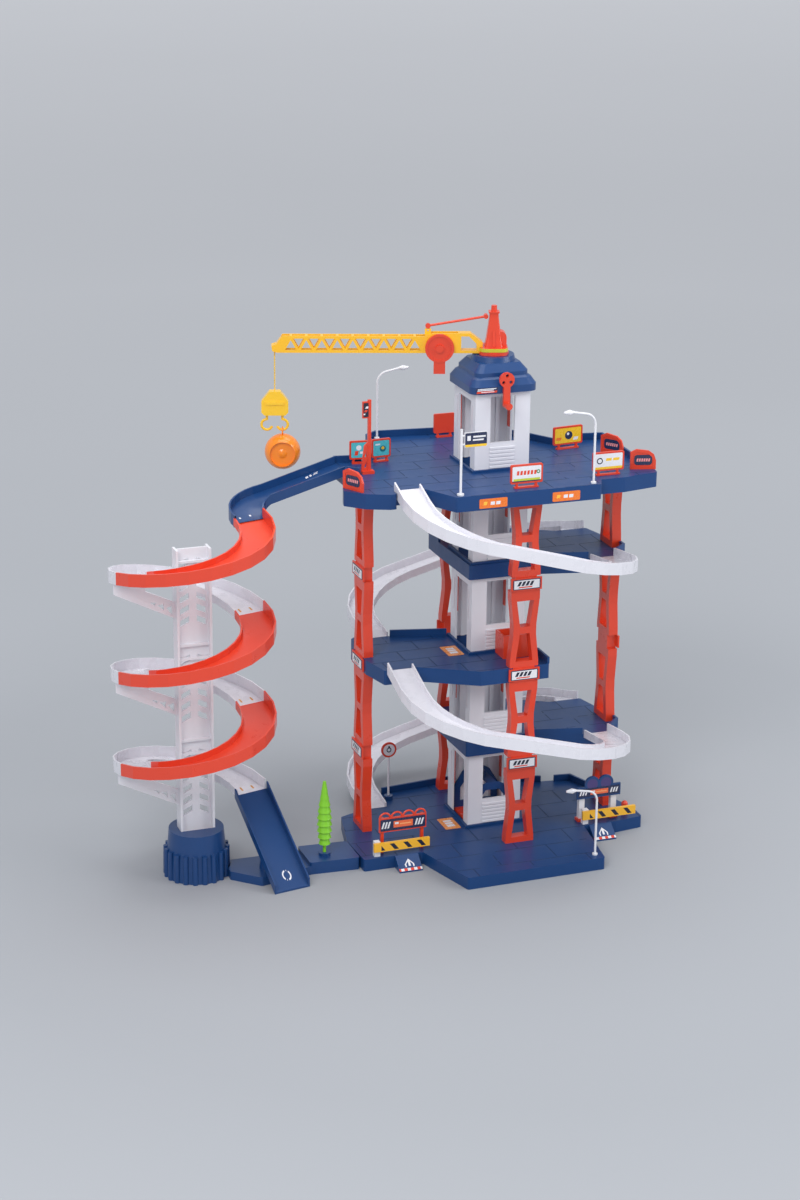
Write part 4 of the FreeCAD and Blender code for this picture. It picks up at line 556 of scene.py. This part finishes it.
FRONT_LABEL_Y = -0.1371
FRONT_LABEL_DROP = 0.0115
FRONT_LABELS = {"left": -0.0505, "right": 0.0495}
FLOOR_LABEL_SPOT = (-0.058, -0.020)
FLOOR_LABELS = {"ground": GROUND, "deck_3": deck_height(2)}


def deck_labels():
    """The orange labels on the roof deck's front and on the floors by the tower's door."""
    marks = [bar(-0.7, -0.3, -0.45, 0.4, GOLD, 0.2), bar(-0.2, -0.34, 0.1, 0.34, PAPER_WHITE, 0.1),
             bar(0.2, -0.34, 0.5, 0.34, PAPER_WHITE, 0.1)]
    for name, x in FRONT_LABELS.items():
        spot = (x, FRONT_LABEL_Y, ROOF_DECK - FRONT_LABEL_DROP)
        badge(f"front_label_{name}", spot, facing(0), (0.038, 0.0125), AMBER, marks)
    marks = [bar(-0.6, -0.5, -0.2, 0.5, PAPER_WHITE), bar(-0.1, -0.5, 0.2, 0.5, PAPER_WHITE),
             bar(0.3, -0.5, 0.6, 0.5, PAPER_WHITE)]
    for name, level in FLOOR_LABELS.items():
        badge(f"floor_label_{name}", (*FLOOR_LABEL_SPOT, level), Matrix.Rotation(math.radians(90), 4, "Z"),
              (0.036, 0.022), APRICOT, marks)


# The boards on the roof deck: middle, angle in degrees, height of the card, its size, ground and marks
WIDE_CARD = (0.0394, 0.0204)
NARROW_CARD = (0.0224, 0.0204)
BACK_CARD = (0.0254, 0.0224)
BOARD_RECESS = 0.0010
BOARD_CARDS = {
    "front": ((0, -0.122), 0, 0.0185, WIDE_CARD, PAPER_WHITE,
              [bar(-0.92, -0.86, 0.92, -0.58, LIME), bar(-1, -1, 1, -0.86, BOARD_INK),
               *bar_row(-0.7, 0.24, 6, 0.16, (-0.12, 0.42), RED, 0.12),
               ring(0.8, 0.2, 0.12, 0.26, BADGE_GREEN)]),
    "right": ((0.123, -0.100), 0, 0.0185, WIDE_CARD, PAPER_WHITE,
              [ring(-0.62, 0.1, 0.28, 0.42, INK), bar(-0.2, 0.05, 0.2, 0.4, SUN, 0.2),
               bar(0.3, 0.05, 0.75, 0.4, SUN, 0.2), bar(-1, -1, 1, -0.7, SUN)]),
    "back_right": ((0.123, 0.033), 6, 0.0185, WIDE_CARD, SUN,
                   [ring(0.05, 0.0, 0.0, 0.56, BOARD_INK), ring(0.0, 0.2, 0.0, 0.18, PAPER_WHITE),
                    bar(-0.85, -0.6, -0.45, -0.2, AMBER, 0.3), bar(0.5, -0.7, 0.85, -0.3, PAPER_WHITE, 0.3)]),
    "teal_left": ((-0.166, 0.048), -8, 0.0185, NARROW_CARD, TEAL,
                  [ring(-0.1, 0.3, 0.0, 0.34, PAPER_WHITE), bar(-0.5, -0.7, -0.1, -0.1, RED, 0.2),
                   bar(0.1, -0.5, 0.7, -0.2, PAPER_WHITE, 0.2)]),
    "teal_right": ((-0.136, 0.049), 4, 0.0185, NARROW_CARD, TEAL,
                   [ring(0.2, -0.1, 0.0, 0.42, DEEP_TEAL), ring(0.2, 0.0, 0.0, 0.2, SUN),
                    bar(-0.8, 0.4, -0.2, 0.62, PAPER_WHITE, 0.1)]),
    "back_left": ((-0.014, 0.138), 180, 0.0190, BACK_CARD, SUN,
                  [ring(0.0, 0.1, 0.3, 0.5, RED), bar(-0.8, -0.8, 0.8, -0.5, PAPER_WHITE)]),
}
EDGE_SIGNS = {"left": ((-0.212, -0.066), -62), "right": ((0.178, -0.088), -15),
              "back": ((0.171, -0.008), -55)}
EDGE_RECESS = 0.0023
EDGE_MIDDLE = 0.0125
EDGE_CARD = (0.0236, 0.0136)
EDGE_MARKS = bar_row(-0.72, 0.26, 6, 0.18, (-0.3, 0.3), PINK, 0.15)
TALL_SPOT = (-0.174, -0.0005, ROOF_DECK + 0.085)
TALL_CARD = (0.0068, 0.0185)
POST_SPOT = (-0.073, -0.1302, ROOF_DECK + 0.0715)
POST_CARD = (0.029, 0.018)


def sign_cards():
    """The printed cards in the boards and signs on the roof deck."""
    for name, (middle, angle, height, size, ground, marks) in BOARD_CARDS.items():
        spot = ahead_of(middle, angle, BOARD_RECESS, ROOF_DECK + height)
        badge(f"board_card_{name}", spot, facing(angle), size, ground, marks, depth=0.0004)
    for name, (middle, angle) in EDGE_SIGNS.items():
        spot = ahead_of(middle, angle, EDGE_RECESS, ROOF_DECK + EDGE_MIDDLE)
        badge(f"edge_card_{name}", spot, facing(angle), EDGE_CARD, BOARD_INK, EDGE_MARKS,
              corner=0.004)
    badge("tall_card", TALL_SPOT, facing(0), TALL_CARD, INK,
          [bar(-0.6, 0.2, 0.5, 0.5, PAPER_WHITE, 0.4), bar(-0.5, -0.3, 0.6, 0.0, RED, 0.4),
           bar(-0.6, -0.7, 0.3, -0.5, PAPER_WHITE, 0.4)], corner=0.001)
    badge("post_card", POST_SPOT, facing(0), POST_CARD, BOARD_INK,
          [bar(-0.82, -0.1, -0.5, 0.6, PAPER_WHITE), bar(-0.3, 0.3, 0.85, 0.55, PAPER_WHITE, 0.1),
           bar(-0.3, -0.15, 0.7, 0.08, PAPER_WHITE, 0.1), bar(-1, -1, 1, -0.66, SUN)])


BANNERS = {"left": ((-0.148, -0.0840, 0.0570), (0.063, 0.0165)),
           "right": ((0.140, -0.0725, 0.0595), (0.061, 0.0125))}


def gantry_cards():
    """The banners of the two entry gantries."""
    marks = [*bar_row(-0.92, 0.13, 3, 0.075, (-0.55, 0.55), PAPER_WHITE, 0.3),
             *bar_row(0.56, 0.13, 3, 0.075, (-0.55, 0.55), PAPER_WHITE, 0.3),
             bar(-0.42, -0.56, 0.44, 0.56, CORAL), bar(-0.36, 0.0, -0.2, 0.34, PAPER_WHITE),
             bar(-0.14, -0.1, 0.36, 0.1, PEACH)]
    for name, (spot, size) in BANNERS.items():
        badge(f"banner_card_{name}", spot, facing(0), size, BOARD_INK, marks)


BRIM_SPOT = (-0.026, -0.0460, 0.6268)
BRIM_CARD = (0.030, 0.0078)


def roof_card():
    """The striped label on the front of the roof's brim."""
    badge("roof_card", BRIM_SPOT, facing(0), BRIM_CARD, BRIM_INK,
          [bar(-0.9, -0.72, 0.95, -0.06, RED, 0.3), bar(-0.9, 0.06, 0.6, 0.36, PAPER_WHITE, 0.3),
           bar(-0.9, 0.5, 0.8, 0.8, PAPER_WHITE, 0.3), bar(-0.5, -0.5, 0.7, -0.28, PAPER_WHITE, 0.3)],
          corner=0.001)


JIB_REACH = 0.283
CORD_X = -JIB_REACH * math.cos(JIB_BEARING)
CORD_Y = -JIB_REACH * math.sin(JIB_BEARING)
CORD_LOW = 0.6135
CORD_HIGH = 0.6745
CORD_TURNS = 9
STEPS_PER_TURN = 12
STRAND_RADIUS = 0.00058
STRAND_OFFSET = 0.00045


def hoist_cord():
    """The hoist's cord: two strands laid round each other, from the jib's tip to the hook block."""
    work = bmesh.new()
    foot = Vector((CORD_X, CORD_Y, CORD_LOW))
    steps = CORD_TURNS * STEPS_PER_TURN
    for start in (0, math.pi):
        offset = Vector((math.cos(start), math.sin(start), 0)) * STRAND_OFFSET
        loop = bmesh.ops.create_circle(work, cap_ends=False, radius=STRAND_RADIUS, segments=8,
                                       matrix=Matrix.Translation(foot + offset))
        edges = list({edge for vert in loop["verts"] for edge in vert.link_edges})
        bmesh.ops.spin(work, geom=loop["verts"] + edges, cent=(CORD_X, CORD_Y, 0), axis=(0, 0, 1),
                       dvec=(0, 0, (CORD_HIGH - CORD_LOW) / steps), angle=CORD_TURNS * math.tau, steps=steps,
                       use_duplicate=False)
    bmesh.ops.recalc_face_normals(work, faces=work.faces)
    cord = piece("hoist_cord_strands", work, cord_yellow, None)
    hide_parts("hoist_cord")
    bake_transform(cord)


pillar_badges()
deck_labels()
sign_cards()
gantry_cards()
roof_card()
hoist_cord()


# Floor, lights and camera


FLOOR_SIZE = 40
GLOW_REACH = 11
GLOW = [(0.07, 0.0), (0.10, 0.04), (0.19, 0.12), (0.32, 0.21), (0.60, 0.28), (1.0, 0.34)]


def studio():
    """A pale paper floor that grows lighter with its distance, where the lamps don't reach."""
    work = bmesh.new()
    bmesh.ops.create_grid(work, x_segments=1, y_segments=1, size=FLOOR_SIZE)
    mesh = bpy.data.meshes.new("studio_floor")
    work.to_mesh(mesh)
    work.free()
    floor = bpy.data.objects.new("studio_floor", mesh)
    bpy.context.scene.collection.objects.link(floor)
    finish = Finish("studio_paper")
    grey = finish.noise(0.6)
    finish.set(Base_Color=finish.mix(grey, paint(160, 163, 168), paint(166, 169, 174)))
    x, y, _ = finish.axes()
    away = finish.node("ShaderNodeMath", {"operation": "SQRT"}, {0: x * x + y * y})
    stops = [(spot, (level, level * 1.01, level * 1.05, 1)) for spot, level in GLOW]
    glow = finish.node("ShaderNodeValToRGB", {"stops": stops}, {"Fac": away * (1 / GLOW_REACH)})
    finish.set(Emission_Color=glow)
    finish.set(Roughness=0.75 + (grey - 0.5) * 0.1)
    finish.fix(Emission_Strength=1.0, Specular_IOR_Level=0.2)
    mesh.materials.append(finish.material)


def softbox(name, spot, target, width, height, watts):
    data = bpy.data.lights.new(name, "AREA")
    data.shape = "RECTANGLE"
    data.size = width
    data.size_y = height
    data.energy = watts
    lamp = bpy.data.objects.new(name, data)
    lamp.location = spot
    lamp.rotation_euler = (Vector(target) - Vector(spot)).to_track_quat("-Z", "Y").to_euler()
    bpy.context.scene.collection.objects.link(lamp)


def lights():
    softbox("key_softbox", (-2.2, -2.4, 3.0), (-0.1, 0, 0.35), 2.2, 2.2, 86)
    softbox("fill_softbox", (2.6, -1.8, 1.8), (0, 0, 0.3), 2.0, 2.4, 50)
    softbox("top_softbox", (0.2, 0.4, 3.2), (-0.1, 0, 0.3), 2.6, 2.6, 44)
    world = bpy.data.worlds.new("studio_world")
    world.use_nodes = True
    background = world.node_tree.nodes["Background"]
    background.inputs["Color"].default_value = paint(214, 218, 224)
    background.inputs["Strength"].default_value = 0.78
    bpy.context.scene.world = world


def camera():
    data = bpy.data.cameras.new("photo_camera")
    data.lens = 79.348
    data.sensor_width = 36
    data.sensor_fit = "AUTO"
    data.clip_end = 200
    made = bpy.data.objects.new("photo_camera", data)
    made.location = (-1.25083, -3.10636, 1.46789)
    made.rotation_euler = Euler((1.241626, -0.009768, -0.344395), "XYZ")
    bpy.context.scene.collection.objects.link(made)
    bpy.context.scene.camera = made


studio()
lights()
camera()
bpy.context.scene.view_settings.view_transform = "Standard"
